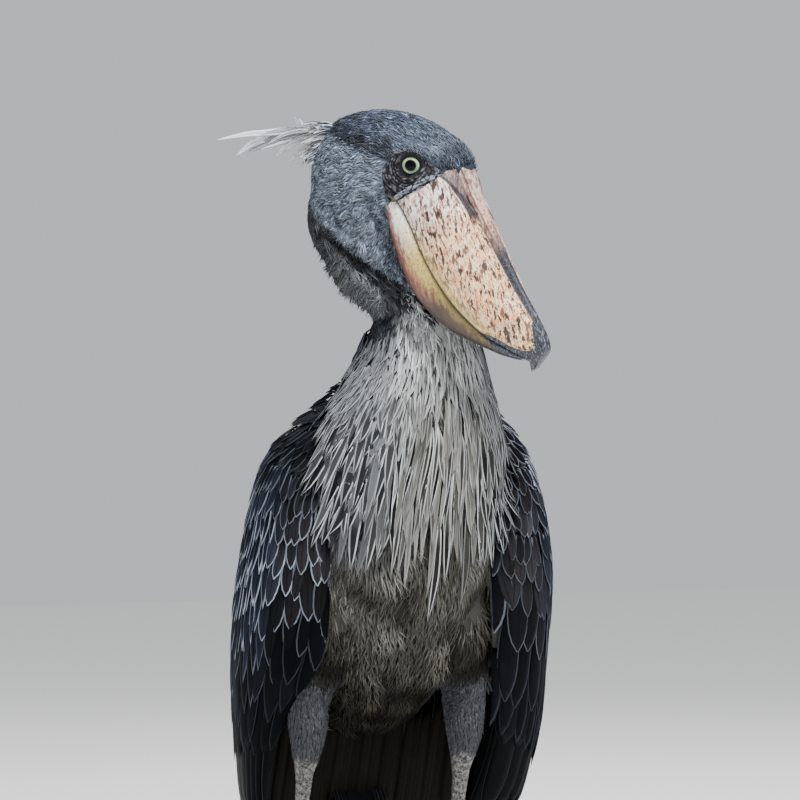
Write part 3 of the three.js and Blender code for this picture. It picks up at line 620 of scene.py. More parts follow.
def add_vanes(coat, skin, p, q, length, half, rise, tint, unwrap, rng, rows=8, columns=5, shape=LEAF,
        sink=4, clear=2.2, tilt=0, bend=0, camber=1, thick=0.8, ragged=0, patch=0.003, trim=1):
    """Large feathers that follow a skin: p and q, length and half width in the skin's own units."""
    n = len(p)
    q, length, half, rise, tilt, bend = (broadcast_to(np.asarray(k, float), (n,))
        for k in (q, length, half, rise, tilt, bend))
    steps = shares(rows)
    out = clip((steps - 1 / (rows - 1)) / (1 - 1 / (rows - 1)), 0, 1)
    lift = np.where(steps == 0, -sink, 0) + np.where(steps > 0,
        minimum(clear, rise)[:, None] + (rise - minimum(clear, rise))[:, None] * out, 0)
    rough = 1 + rng.normal(0, ragged, (n, rows, columns)) if ragged else None

    def skin_at(reach, offset, high):
        share = reach / length[:, None, None]
        across = q[:, None, None] + bend[:, None, None] * share ** 2 + offset
        lean = tilt[:, None, None] * offset / half[:, None, None]
        return skin(p[:, None, None] + reach, across, high + lean)

    points, faces, along, across, rim = shaped(skin_at, length, half, lift, rows, columns, shape,
        full(n, camber), thick, ragged=rough)
    middle = p[:1] + length[:1] / 2
    outwards = skin(middle, q[:1], array([25])) - skin(middle, q[:1], array([0]))
    coat.add(points, facing(points, faces, outwards[0]), along, across, rim, rng.random(n), tint, unwrap,
        patch, trim)


class Value:
    """A node's output that can stand in sums; each operator adds a Math node."""

    def __init__(self, paint, output):
        self.paint = paint
        self.output = output

    def maths(self, operation, *others):
        return self.paint.node("ShaderNodeMath", {"operation": operation}, dict(enumerate([self, *others])))

    def __add__(self, other):
        return self.maths("ADD", other)

    def __mul__(self, other):
        return self.maths("MULTIPLY", other)

    def __sub__(self, other):
        return self.maths("SUBTRACT", other)

    def __rsub__(self, other):
        return self.paint.node("ShaderNodeMath", {"operation": "SUBTRACT"}, {0: other, 1: self})

    def __pow__(self, other):
        return self.maths("POWER", other)

    __radd__ = __add__
    __rmul__ = __mul__


class Paint:
    """One material, and the ways to add nodes to it."""

    def __init__(self, name, **fixed):
        self.material = bpy.data.materials.new(name)
        self.material.use_nodes = True
        self.tree = self.material.node_tree
        self.shader = self.tree.nodes["Principled BSDF"]
        for key, value in fixed.items():
            self.put(self.shader.inputs[key.replace("_", " ")], value)

    def put(self, socket, value):
        if isinstance(value, Value):
            self.tree.links.new(value.output, socket)
        elif hasattr(socket.default_value, "__len__") and len(value) + 1 == len(socket.default_value):
            socket.default_value = (*value, 1)
        else:
            socket.default_value = value

    def node(self, kind, settings=None, inputs=None, out=0):
        """Adds a node: its settings first, then the values or links of its sockets."""
        made = self.tree.nodes.new(kind)
        for key, value in (settings or {}).items():
            setattr(made, key, value)
        for key, value in (inputs or {}).items():
            self.put(made.inputs[key], value)
        return Value(self, made.outputs[out])

    def layer(self, name, out="Fac"):
        return self.node("ShaderNodeAttribute", {"attribute_name": name}, out=out)

    def step(self, value, low, high):
        inputs = {"Value": value, "From Min": low, "From Max": high}
        return self.node("ShaderNodeMapRange", {"interpolation_type": "SMOOTHSTEP"}, inputs)

    def noise(self, vector, scale, detail=3, rough=0.55):
        return self.node("ShaderNodeTexNoise", {}, {"Vector": vector, "Scale": scale, "Detail": detail,
            "Roughness": rough})

    def stretched(self, vector, scale):
        return self.node("ShaderNodeVectorMath", {"operation": "MULTIPLY"}, {0: vector, 1: scale})

    def blend(self, share, a, b, kind="MIX"):
        a, b = named(a), named(b)
        return self.node("ShaderNodeMix", {"data_type": "RGBA", "blend_type": kind}, {0: share, 6: a, 7: b},
            out=2)

    def split(self, vector):
        parts = self.tree.nodes.new("ShaderNodeSeparateXYZ")
        self.tree.links.new(vector.output, parts.inputs[0])
        return tuple(Value(self, parts.outputs[k]) for k in range(3))

    def object_place(self):
        return self.node("ShaderNodeTexCoord", out="Object")

    def bump(self, height, strength, distance):
        bump = self.node("ShaderNodeBump", {}, {"Height": height, "Strength": strength, "Distance": distance})
        self.put(self.shader.inputs["Normal"], bump)

    def base(self, colour, rough=None):
        self.put(self.shader.inputs["Base Color"], colour)
        if rough is not None:
            self.put(self.shader.inputs["Roughness"], rough)
        return self.material


def tone(red, green, blue):
    """A colour as seen on a screen, 0 to 255, in linear light."""
    return tuple(((k / 255 + 0.055) / 1.055) ** 2.4 if k > 10 else k / 255 / 12.92
        for k in (red, green, blue))


def colour(name, red, green, blue, about):
    return bpy.props.FloatVectorProperty(name=name, description=about, subtype="COLOR", size=3, min=0,
        max=1, default=tone(red, green, blue))


def size(name, value, low, high, about):
    return bpy.props.FloatProperty(name=name, description=about, default=value, min=low, max=high,
        unit="LENGTH")


class ShoebillColours(bpy.types.PropertyGroup):
    """Colours of the plumage and the bare parts."""

    crown: colour("Crown", 60, 70, 88, "Cap from forehead to nape")
    brow: colour("Brow", 18, 22, 31, "Shade under the edge of the cap")
    cheek: colour("Cheek", 90, 102, 118, "Side of the face")
    throat: colour("Throat", 64, 69, 74, "Under the cheek and the nape")
    # Painted light and shade on the neck: neck is lit to near white for the front, neck_side is darkened as
    # painted shade for the sides and back.
    neck: colour("Neck", 252, 254, 255, "Front of the neck")
    neck_side: colour("Neck side", 54, 60, 68, "Sides and back of the neck")
    plume: colour("Plume", 232, 235, 237, "Hems of the breast plumes")
    plume_grey: colour("Grey plume", 104, 108, 112, "Breast plumes")
    plume_warm: colour("Warm plume", 100, 97, 88, "Breast plumes stained by earth")
    plume_dark: colour("Plume shaft", 8, 8, 10, "Middle of a breast plume")
    belly: colour("Belly", 97, 96, 90, "Upper belly")
    # belly_low and vent: the belly's colour darkened towards the bottom as painted shade under the body.
    belly_low: colour("Low belly", 38, 36, 31, "Lower belly")
    vent: colour("Vent", 18, 17, 15, "Vent and under the tail")
    back: colour("Back", 46, 51, 62, "Between the wings")
    wing: colour("Wing", 30, 34, 45, "Wing coverts")
    wing_warm: colour("Warm wing", 36, 34, 37, "Coverts beside the breast")
    wing_dark: colour("Low wing", 8, 9, 12, "Lower wing coverts")
    wing_edge: colour("Wing edge", 190, 203, 222, "Pale hem of a covert")
    flight: colour("Flight", 7, 8, 10, "Flight feathers")
    tail: colour("Tail", 20, 21, 24, "Tail feathers")
    thigh: colour("Thigh", 72, 74, 78, "Feathered leg")
    crest: colour("Crest", 200, 204, 210, "Loose feathers of the crest")
    leg: colour("Leg scales", 30, 30, 32, "Bare leg")
    leg_gap: colour("Leg skin", 140, 138, 134, "Between the leg's scales")
    bill: colour("Bill", 240, 162, 108, "Upper bill")
    # Pale streaks of the bill: partly worn horn, partly painted highlights.
    bill_pale: colour("Pale bill", 255, 224, 178, "Worn streaks of the bill")
    bill_blotch: colour("Bill blotch", 78, 36, 34, "Dark streaks of the bill")
    bill_yellow: colour("Bill edge", 206, 182, 104, "Along the mouth")
    bill_cream: colour("Cream bill", 255, 250, 238, "Rear of the lower bill, beside the mouth")
    bill_rose: colour("Rosy bill", 216, 166, 150, "Base and ridge of the bill")
    bill_red: colour("Lower bill", 168, 92, 82, "Rear of the lower bill")
    horn: colour("Horn", 36, 40, 54, "Hook, bill tip and claws")
    bare: colour("Bare skin", 50, 47, 52, "Round the eye")
    # Warm bare skin: the paler tops of the wrinkles, partly their own tan, partly painted highlight.
    bare_warm: colour("Warm bare skin", 90, 88, 95, "Wrinkles round the eye")
    bare_pale: colour("Pale bare skin", 150, 160, 176, "Fold beside the bill")
    iris: colour("Iris", 158, 186, 150, "Iris")
    floor: colour("Floor", 238, 238, 236, "Stage")


class ShoebillSizes(bpy.types.PropertyGroup):
    """Sizes of the coat."""

    skin_voxel: size("Skin voxel", 0.003, 0.002, 0.01, "Grain of the skin")
    leg_voxel: size("Leg voxel", 0.0015, 0.001, 0.004, "Grain of the bare legs")
    head_gap: size("Head feather gap", 0.0022, 0.001, 0.01, "Between feathers of the head")
    head_feather: size("Head feather", 0.0095, 0.004, 0.03, "Length of a feather of the head")
    neck_gap: size("Neck feather gap", 0.00235, 0.001, 0.01, "Between feathers of the neck")
    neck_feather: size("Neck feather", 0.016, 0.005, 0.05, "Length of a feather of the neck")
    plume: size("Breast plume", 0.090, 0.03, 0.15, "Length of the longest breast plumes")
    scale: size("Leg scale", 0.003, 0.002, 0.01, "Across a scale of the leg")


def named(value):
    """A colour for a socket from a name, or from a name and how bright; anything else stays."""
    if isinstance(value, str):
        value = (value, 1)
    return tuple(shade(value[0]) * value[1]) if isinstance(value, tuple) and isinstance(value[0],
        str) else value


def millimetres(name):
    return getattr(bpy.context.scene.shoebill_sizes, name) * 1000


def shade(name):
    return array(getattr(bpy.context.scene.shoebill_colours, name)[:])


def below_crease(F, U):
    """How far under the crease between cheek and throat, along U."""
    return interp(F, *array(JAW_CREASE, float).T) - U


def head_marks(points):
    F, U, L = in_head(points)
    line = U - (50 + 0.57 * F)
    crown = crown_share(F, U)
    below = below_crease(F, U)
    # Painted shade under the cheek: the throat colour darkens towards the back of the nape, and a band of
    # painted shadow lies along the crease where the cheek overhangs the throat.
    side = mix(shade("cheek"), shade("throat") * (1 - 0.7 * smooth(-F, -80, 10))[:, None],
        smooth(below, -3, 4))
    side = mix(side, shade("brow") * 0.3, 0.93 * bell(below, 1, 5.5) * smooth(F, -25, 0))
    side = mix(side, shade("cheek") * 1.3, 0.7 * exp(-((F + 62) / 20) ** 2 - ((line + 11) / 9) ** 2))
    # Painted light and shade on the cap: lighter towards its top and in a pale patch on the forehead above
    # the eye, darker in a band along its lower edge and at the forehead's front, as in the shade of the brow.
    tint = mix(side, shade("crown") * (0.85 + 0.4 * smooth(line, 8, 34))[:, None], crown)
    tint = mix(tint, shade("brow"), 0.85 * bell(line, 8, 11) * smooth(F, -92, -55) * crown)
    tint = mix(tint, shade("cheek") * 1.25, 0.5 * exp(-((F - 14) / 9) ** 2 - ((U - 90) / 9) ** 2) * crown)
    tint = mix(tint, shade("brow"), 0.6 * smooth(F, 14, 26) * smooth(U, 80, 90) * crown)
    return mix(tint, shade("crest") * 0.7, smooth(-F, 96, 110) * smooth(40 - np.abs(U + 22), 0, 26))


def trunk_marks(t, turn):
    turn = np.mod(turn, 360)
    front = np.cos(radians(turn - 90)) * 0.5 + 0.5
    # Painted light and shade: the front of the neck is painted lit, near white, fading into the darker
    # neck_side colour as painted shade on the sides and back.
    centre = np.cos(radians(turn - 88 + 10 * smooth(t, 0.75, 0.9))) * 0.5 + 0.5
    tint = mix(shade("neck_side"), shade("neck"), smooth(centre, 0.8, 0.975))
    # Painted shade under the chin: the top of the neck darkens to the throat colour.
    tint = mix(tint, shade("throat") * 1.6, smooth(t, 0.74, 0.86))
    warm = mix(shade("plume_grey"), shade("plume_warm"), 0.8 * smooth(np.cos(radians((turn - 82) * 1.6)),
        0.2, 1))
    tint = mix(warm, tint, smooth(t, 0.6, 0.74))
    # Painted shade under the body: the belly darkens towards the bottom, through belly_low to the near-black
    # vent.
    belly = mix(shade("vent"), mix(shade("belly_low"), shade("belly"), smooth(t, 0.2, 0.34)),
        smooth(t, 0.1, 0.2))
    tint = mix(belly, tint, smooth(t, 0.38, 0.44))
    behind = smooth(-front, -0.42, -0.3)
    return mix(tint, mix(shade("back"), shade("neck_side") * 0.85, smooth(t, 0.68, 0.8)), behind)


def feather_finish(name, edge="plume", edge_share=0.4, edge_wide=0.3, shaft="plume_dark", shaft_share=0.3,
        shaft_wide=0.25, spread=0.5, mottle=0.35, mottle_size=55, streak=0.35, gloss=0.8, shaft_from=None,
        root_shade=0.35):
    """Feathers: pale edges of some millimetres, a dark shaft, barbs, each a little lighter or darker, and
    painted shade at the root.
    """
    paint = Paint(name, Specular_IOR_Level=0.02)
    blend, step, noise, layer = paint.blend, paint.step, paint.noise, paint.layer
    tint = layer("tint", "Color")
    along, across, chance, trim, rim = (layer(k) for k in ("along", "across", "chance", "trim", "rim"))
    away = across.maths("ABSOLUTE")
    place = paint.object_place()
    cloud = noise(place, mottle_size, 2)
    barbs = noise(paint.node("ShaderNodeCombineXYZ", {}, {0: along * 5 - away * 2.2, 1: across * 9,
        2: chance * 61}), 2.4, 3, 0.7)
    bright = (1 - spread * 0.5) + spread * chance + (cloud - 0.5) * (2 * mottle) + (barbs - 0.5) * (2
        * streak)
    # Painted shade: each feather is darker towards its root, where the feathers above lie over it.
    bright = bright.maths("MAXIMUM", 0.1) * (1 - root_shade * (1 - step(along, 0.1, 0.75)))
    shaded = blend(1, tint, paint.node("ShaderNodeCombineColor", {}, {0: bright, 1: bright, 2: bright}),
        "MULTIPLY")
    hem = 1 - step(rim + (barbs - 0.5) * (edge_wide * 0.6), edge_wide * 0.6, edge_wide)
    rimmed = blend(hem * trim * edge_share, shaded, edge)
    line = 1 - step(away + (barbs - 0.5) * 0.2, shaft_wide * (0.75 if shaft_from else 0.45), shaft_wide)
    if shaft_from:
        line = line * step(along + (chance - 0.5) * 0.3, *shaft_from) * trim
    else:
        line = line * (1 - step(along, 0.8, 1))
    done = blend(line * shaft_share, rimmed, shaft)
    paint.bump(barbs, 0.35, 0.0006)
    return paint.base(done, gloss)


class Piece:
    """What the operators share."""

    bl_options = {"REGISTER", "UNDO"}


def sausage(path, radius):
    """A round bar along a few points."""
    path = spline(path, 24)
    radius = interp(shares(24), shares(len(radius)), radius)
    way = unit(np.gradient(path, axis=0))
    side = unit(cross(way, at(0.3, 0.1, 1)))
    up = cross(side, way)
    turn = linspace(0, 2 * math.pi, 17)[:-1]
    ring = np.cos(turn)[None, :, None] * side[:, None] + np.sin(turn)[None, :, None] * up[:, None]
    return tube(path[:, None] + ring * radius[:, None, None])


def face_shapes():
    """Flesh that carries the bill's base from behind, and the brows over the eyes."""
    shapes = []
    back = array([0, 1.5, 4, 9, 15, 24, 38])
    grow = array([-0.8, 0.6, 1.2, 1.2, 0.4, -2.5, -12])[:, None]
    upper = array([[L[0], U[0]] for L, U in upper_section(array([FACE["upper"] + 6]))])
    L, U = (k[None] + 0 * grow for k in spline(upper, 30).T)
    lower = array([[40.5, 27], [42, 22], [41.5, 15], [38, 8], [31, 3], [18, 0], [6, -1]])
    L2, U2 = (k[None] + 0 * grow for k in spline(lower, 20).T)
    # The upper part follows the bill's sloping base, the cheek runs forward as it goes down.
    front = FACE["upper"] + 1.5 + FACE["slope"] * maximum(U - FACE["above"], 0)
    front2 = 40 - 0.7 * U2
    halves = [(front - back[:, None], U + grow * (U - 60) / 45, L * (1 + grow / 42)),
        (front2 - back[:, None], U2 + grow * (U2 - 20) / 30, L2 * (1 + grow / 42))]
    for F, U, L in halves:
        ring = join(stack([F, U, L], -1), stack([F, U, -L], -1)[:, ::-1], axis=1)
        shapes.append(tube(on_head(ring[..., 0], ring[..., 1], ring[..., 2])))
    for _, side in SIDES:
        for bar in (JOWL, BROW, ORBIT):
            F, U, L, radius = array(bar, float).T
            shapes.append(sausage(on_head(F, U, L * side), radius))
    return shapes


def bag(table, share, turn, sink=0):
    """A closed swelling under the head, from a table of F, U, half height and half width."""
    F, U, high, wide = moveaxis(through(array(table, float), share), -1, 0)
    return on_head(F + 0 * turn, U + (high - sink) * np.sin(turn), (wide - sink) * np.cos(turn))


def flesh_shapes():
    """Closed shapes that the body's skin is wrapped round."""
    turn = linspace(0, 360, 49)[:-1]
    round_ = radians(turn)[None]
    t = shares(80)
    shapes = [tube(trunk_skin(*crossed(t, turn), -coat_depth(t)[:, None]))]
    latitude = radians(linspace(-88, 88, 49))
    angle = linspace(-180, 180, 73)[:-1]
    shapes.append(tube(head_skin(*crossed(latitude, angle), -HEAD_COAT, cap=1.6)))
    shapes += [tube(bag(table, *crossed(shares(30), radians(turn)))) for table in (CHIN_BAG, NAPE_BAG)]
    shapes.append(sausage(on_head(array([-74, -88, -98]), array([0, -12, -22]), np.zeros(3)), [12, 9, 4]))
    shapes += face_shapes()
    for _, side in SIDES:
        s, v = crossed(linspace(0, WING_CORE_END, 30), shares(24))
        thick = through(WING_THICK, s) * (0.3 + 0.7 * np.sin(math.pi * v))
        over, under = wing_skin(side, s, v, -2.2 + 0 * s), wing_skin(side, s, v, -maximum(thick, 8) + 1.5)
        rings = join(over, under[:, ::-1], axis=1)
        shapes.append(tube(rings))
        shapes.append(sausage(at(side * array([66, 72, 83, 88]), array([46, 36, 14, 5]),
            array([560, 488, 434, 402])), [26, 34, 27, 17]))
        shapes.append(tube(limb_skin(THIGH, side, *crossed(shares(24), turn), -3.5)))
    share, wide, thick = moveaxis(through(array(TAIL_CORE, float), shares(20)), -1, 0)
    shapes.append(tube(on_tail((share * TAIL["length"])[:, None] + 0 * round_,
        (wide[:, None] - 3) * np.cos(round_), (thick[:, None] - 2) * np.sin(round_))))
    return merged(shapes)


def toe_rings(side, toe, along, wide, tall, lift, corners):
    """Rings of a toe or claw: flat below, round above."""
    angle = math.radians(toe[0] + FOOT_TURN)
    way, across = at(side * math.sin(angle), math.cos(angle), 0), at(math.cos(angle), -side
        * math.sin(angle), 0)
    turn = linspace(-0.12 * math.pi, 1.12 * math.pi, corners)
    x = np.cos(turn)[None] * wide[:, None]
    z = lift[:, None] + (0.34 + 0.66 * np.sin(turn))[None] * tall[:, None]
    z = maximum(z, lift[:, None])
    centre = at(side * LEG_X, FOOT_F, 0) + way * along[:, None]
    return centre[:, None] + across * x[..., None] + at(0, 0, 1) * z[..., None]


def foot_shapes(side):
    turn = linspace(0, 360, 33)[:-1]
    shapes = [tube(limb_skin(SHANK, side, *crossed(shares(120), turn), -0.5))]
    for toe in TOES:
        t = shares(40)
        along = 2 + (toe[1] - 2) * t
        bulge = (1 - 0.34 * t) * (1 + 0.1 * np.cos(2 * math.pi * t * toe[4]))
        shapes.append(tube(toe_rings(side, toe, along, toe[2] * bulge - 0.4, toe[3] * bulge - 0.4,
            0 * t + 0.2, 24)))
    return merged(shapes)


def scaled_leg(points, faces, rng):
    """Raises rounded scales on a leg; also gives how deep each point lies between them."""
    across = millimetres("scale")
    normals = normals_of(points, faces)
    order = rng.permutation(len(points))
    taken, seeds = {}, []
    for k in order.tolist():
        x, y, z = points[k]
        cell = (int(x // across), int(y // across), int(z // across))
        near = [taken[c] for dx in (-1, 0, 1) for dy in (-1, 0, 1) for dz in (-1, 0, 1)
            if (c := (cell[0] + dx, cell[1] + dy, cell[2] + dz)) in taken]
        if all((x - a) ** 2 + (y - b) ** 2 + (z - c) ** 2 > across ** 2 for a, b, c in near):
            taken[cell] = (x, y, z)
            seeds.append((x, y, z))
    tree = KDTree(len(seeds))
    for i, seed in enumerate(seeds):
        tree.insert(seed, i)
    tree.balance()
    gap = np.empty(len(points))
    pick = np.empty(len(points))
    for i, place in enumerate(points.tolist()):
        (_, index, a), (_, _, b) = tree.find_n(place, 2)
        gap[i] = b - a
        pick[i] = index
    crack = 1 - smooth(gap, 0.1, 1.5)
    return points + normals * (0.45 - 0.75 * crack)[:, None], crack, (pick * 0.618) % 1


def make_skin():
    rng = np.random.default_rng(11)
    points, faces = remeshed("body", *flesh_shapes(), millimetres("skin_voxel"), 6)
    MADE["body"] = Surface(points, faces)
    shapes = [(points, faces)]
    crack, pick = [np.zeros(len(points))], [full(len(points), 0.5)]
    bare = [np.zeros(len(points))]
    for _, side in SIDES:
        leg, quads = remeshed("leg", *foot_shapes(side), millimetres("leg_voxel"), 3)
        leg, gaps, index = scaled_leg(leg, quads, rng)
        leg[:, 2] = maximum(leg[:, 2], 0.15)
        shapes.append((leg, quads))
        crack.append(gaps)
        pick.append(index)
        bare.append(np.ones(len(leg)))
    t, turn, tint = skin_markings(points)
    legs = sum(len(k) for k in crack[1:])
    layers = {"tint": join(tint, tile(shade("leg"), (legs, 1))), "crack": np.concatenate(crack),
        "pick": np.concatenate(pick), "bare": np.concatenate(bare)}
    whole, quads = merged(shapes)
    nodes = ["head", "neck", "torso"]
    for name, _ in SIDES:
        nodes += ["thigh_" + name, "shank_" + name]
        nodes += [f"toe_{name}_{k}" for k in (1, 2, 3, 4)]
    skin = new_object("skin", whole, quads, layers)
    settled(skin, *nodes, slot="leg_scales", finish=skin_finish())


def skin_markings(points):
    """The coat's markings at the skin's points, a little darker."""
    t = clip(interp(points[:, 2], TRUNK[:, 2], shares(len(TRUNK))), 0, 1)
    centre = trunk_middle(t)
    turn = np.degrees(arctan2(-(points[:, 1] - centre[:, 1]), points[:, 0] - centre[:, 0]))
    tint = trunk_marks(t, turn)
    F, U, L = in_head(points)
    head = maximum(smooth(points[:, 2], 880, 900), smooth(-below_crease(F, U), -16, -8) * smooth(F, -40, 0)
        * (1 - smooth(L, 18, 30)))
    tint = mix(tint, head_marks(points), head * smooth(150 - hypot(F, U), 0, 20))
    leg = smooth(-points[:, 2], -440, -400) * smooth(np.abs(points[:, 0]), 50,
        56) * smooth(points[:, 1], -60, -50) * smooth(-points[:, 1], -60, -50)
    tint = mix(tint, shade("thigh"), leg)
    wing = smooth(np.abs(points[:, 0]), 120, 130)
    breast = 0.78 - 0.5 * smooth(t, 0.34, 0.42) * (1 - smooth(t, 0.56, 0.64))
    breast *= 0.05 + 0.95 * smooth(hypot(F - EYE["F"], U - EYE["U"]), 14, 18)
    return t, turn, mix(tint, shade("wing_dark"), wing) * breast[:, None]


def skin_finish():
    paint = Paint("skin_finish", Specular_IOR_Level=0.3)
    blend, noise, layer = paint.blend, paint.noise, paint.layer
    crack, pick, bare = (layer(k) for k in ("crack", "pick", "bare"))
    place = paint.object_place()
    speckle = paint.step(noise(place, 520, 3) + (pick - 0.5) * 0.3, 0.5, 0.6)
    scale = blend(speckle * 0.7, "leg", "leg_gap")
    leg = blend(crack * 0.75, scale, ("leg_gap", 0.55))
    down = blend(noise(place, 260, 3) * 0.35, layer("tint", "Color"), (0.01, 0.01, 0.012))
    done = blend(bare, down, leg)
    paint.bump(noise(place, 900, 2), 0.2, 0.0005)
    return paint.base(done, 0.8 - bare * 0.35)


class SHOEBILL_OT_skin(Piece, bpy.types.Operator):
    """Wraps one skin round the body, with the bare legs"""

    bl_idname = "shoebill.skin"
    bl_label = "Skin"

    def execute(self, context):
        make_skin()
        return {"FINISHED"}


def spline(points, count):
    """A smooth line of count points through a few."""
    return through(array(points, float), shares(count))


def base_slope(F, U):
    """How much further forward the upper bill's base begins, higher up."""
    fade = clip(1 - (F - FACE["upper"]) / FACE["fades"], 0, 1)
    return FACE["slope"] * maximum(U - FACE["above"], 0) * fade


def upper_section(F):
    """Half of the upper bill's section at each F, from ridge to mouth edge, as (L, U)."""
    wide = profile(BILL_WIDTH, F)
    ridge = minimum(profile(RIDGE_WIDTH, F), wide * 0.8)
    low = profile(MOUTH, F) + GAP / 2
    tall = profile(CULMEN, F) - low
    groove = ridge + 2.5
    sides = [(0 * F, 1), (ridge * 0.5, 0.995), (ridge * 0.9, 0.972), (ridge + 0.6, 0.94), (groove, 0.885),
        (groove + 0.13 * (wide - groove), 0.912), (groove + 0.34 * (wide - groove), 0.89),
        (groove + 0.55 * (wide - groove), 0.825), (groove + 0.75 * (wide - groove), 0.71),
        (groove + 0.88 * (wide - groove), 0.58), (wide * 0.985, 0.42), (wide, 0.3), (wide * 1, 0.14),
        (wide * 0.985, 0.04), (wide * 0.95, 0)]
    return [(L, low + k * tall) for L, k in sides]


# Where the dark nail begins: height, place along the bill.
NAIL = [(20, 190), (29, 203), (36, 219), (42, 229), (48, 235), (54, 237), (60, 230), (66, 216), (73, 202),
    (80, 192)]
# The slit that leaves the groove for the side of the bill near its base, painted dark as shade, as F and U.
SIDE_LINE = [(22, 80), (28, 82), (37, 84.3), (50, 85.2), (68, 84.2), (84, 82), (98, 79)]


def make_bill():
    bill_upper()
    bill_lower()


def bill_stations(start, end, count):
    t = shares(count)
    return start + (end - start) * (1 - (1 - t) ** 1.25)


def bill_side(F, section, count):
    """One side's F, share, L and U, count points round each section, and the way gone round it."""
    half = array([[L, U] for L, U in section]).transpose(2, 0, 1)
    fine = stack([spline(row, count) for row in half])
    step = np.linalg.norm(diff(fine, axis=1), axis=-1)
    travel = join(0 * step[:, :1], cumsum(step, 1), axis=1)
    return *crossed(F, shares(count)), fine[..., 0], fine[..., 1], travel


def bill_upper():
    F = bill_stations(FACE["upper"] - 6, BILL_LENGTH + 18, 170)
    F2, share, L, U, travel = bill_side(F, upper_section(F), 48)
    rim = travel[:, -1:] - travel
    ridge = travel - array([interp(4 / 14, share[0], row) for row in travel])[:, None]
    nail = smooth(F2 - profile(NAIL, U), -1.5, 2.5)
    # Long low swells, a channel along the mouth, and the step down to the nail.
    swell = 0.5 * np.sin(F2 * 0.11 + share * 9) + 0.35 * np.sin(F2 * 0.043 - share * 17 + 1)
    swell = swell * smooth(ridge, 4, 10) * smooth(rim, 3, 9) * smooth(BILL_LENGTH - F2, 0, 30)
    swell += (0.9 * exp(-((F2 - profile(NAIL, U) + 4) / 4) ** 2) - 0.5 * nail) * smooth(252 - F2, 0, 12)
    swell -= 0.6 * bell(rim, 6.5, 1.8)
    mark = U - profile(SIDE_LINE, F2)
    slit = (1 - smooth(F2, 88, 98)) * exp(-(mark / 1.6) ** 2) * (0.3 + 0.7 * smooth(F2, 44, 52)
        * smooth(-F2, -82, -70))
    L = L + swell * smooth(share, 0.1, 0.4) - 1.2 * slit
    U = U - 2.6 * slit + 0.4 * nail * smooth(252 - F2, 0, 12) * (1 - smooth(share, 0.1, 0.4))
    F2 = F2 - 6.5 * smooth(F2, 240, 258)
    place = stack([F2 + base_slope(F2, U), U, L], -1)
    mouth = linspace(1, -1, 12)[1:-1]
    filler = place[:, -1:] * array([1, 1, 0]) + place[:, -1:, 2:] * mouth[None, :, None] * array([0, 0, 1])
    layers = {"rim": rim, "ridge": ridge, "nail": nail, "mark": mark}
    bill_build("upper_bill", place, filler, layers, 1, "bill_upper", bill_upper_finish())


def bill_lower():
    F = bill_stations(FACE["lower"] - 12, BILL_LENGTH - 3, 120)
    wide = profile(BILL_WIDTH, F) * interp(F, [25, 60, 120, 240], [0.95, 0.965, 0.955, 0.93])
    high = profile(MOUTH, F) - GAP / 2 - 0.6
    tall = maximum(high - profile(CHIN, F), 1.2)
    sides = [(wide * 0.93, 0.3 / tall), (wide * 0.965, 0.2 / tall), (wide, -0.14), (wide * 0.995, -0.36),
        (wide * 0.95, -0.6), (wide * 0.84, -0.8), (wide * 0.6, -0.94), (wide * 0.3, -0.99), (0 * F, -1)]
    F2, share, L, U, rim = bill_side(F, [(L, high + k * tall) for L, k in sides], 30)
    L = L + 0.35 * np.sin(F2 * 0.09 + share * 7) * smooth(share, 0.1, 0.3) * smooth(BILL_LENGTH - F2, 5, 30)
    place = stack([F2, U, L], -1)
    over = linspace(-1, 1, 12)[1:-1]
    filler = place[:, :1] * array([1, 1, 0]) + place[:, :1, 2:] * over[None, :, None] * array([0, 0, 1])
    bill_build("lower_bill", place, filler, {"rim": rim, "ridge": share, "nail": 0 * rim}, 0, "bill_lower",
        bill_lower_finish())


def bill_build(name, left, filler, layers, closes, slot, finish):
    """closes says which end of the left half meets the filler: 1 the last, 0 the first."""
    right = left[:, ::-1] * array([1, 1, -1])
    ring = np.concatenate([left, filler, right[:, :-1]] if closes else [left, right[:, 1:], filler], 1)
    points, faces = tube(on_head(ring[..., 0], ring[..., 1], ring[..., 2]))
    fit = {"own": join(ring.reshape(-1, 3), ring[:1].mean(1), ring[-1:].mean(1)) / 100}
    for key, values in layers.items():
        edge = values[:, -1:] if closes else values[:, :1]
        blank = edge + np.zeros(filler.shape[:2])
        back = values[:, ::-1]
        row = np.concatenate([values, blank, back[:, :-1]] if closes else [values, back[:, 1:], blank], 1)
        fit[key] = join(row.ravel(), row[:1].mean(1), row[-1:].mean(1))
    MADE[name] = Surface(points, faces)
    settled(new_object(name, points, faces, fit), slot, slot=slot, finish=finish)


def bill_slanted(paint):
    """F, U, L in tenths of a metre, and the same turned to run with the horn's streaks."""
    own = paint.layer("own", "Vector")
    F, U, L = paint.split(own)
    return F, U, L, paint.node("ShaderNodeCombineXYZ", {}, {0: F * 0.9 - U * 0.43, 1: F * 0.43 + U * 0.9,
        2: L})


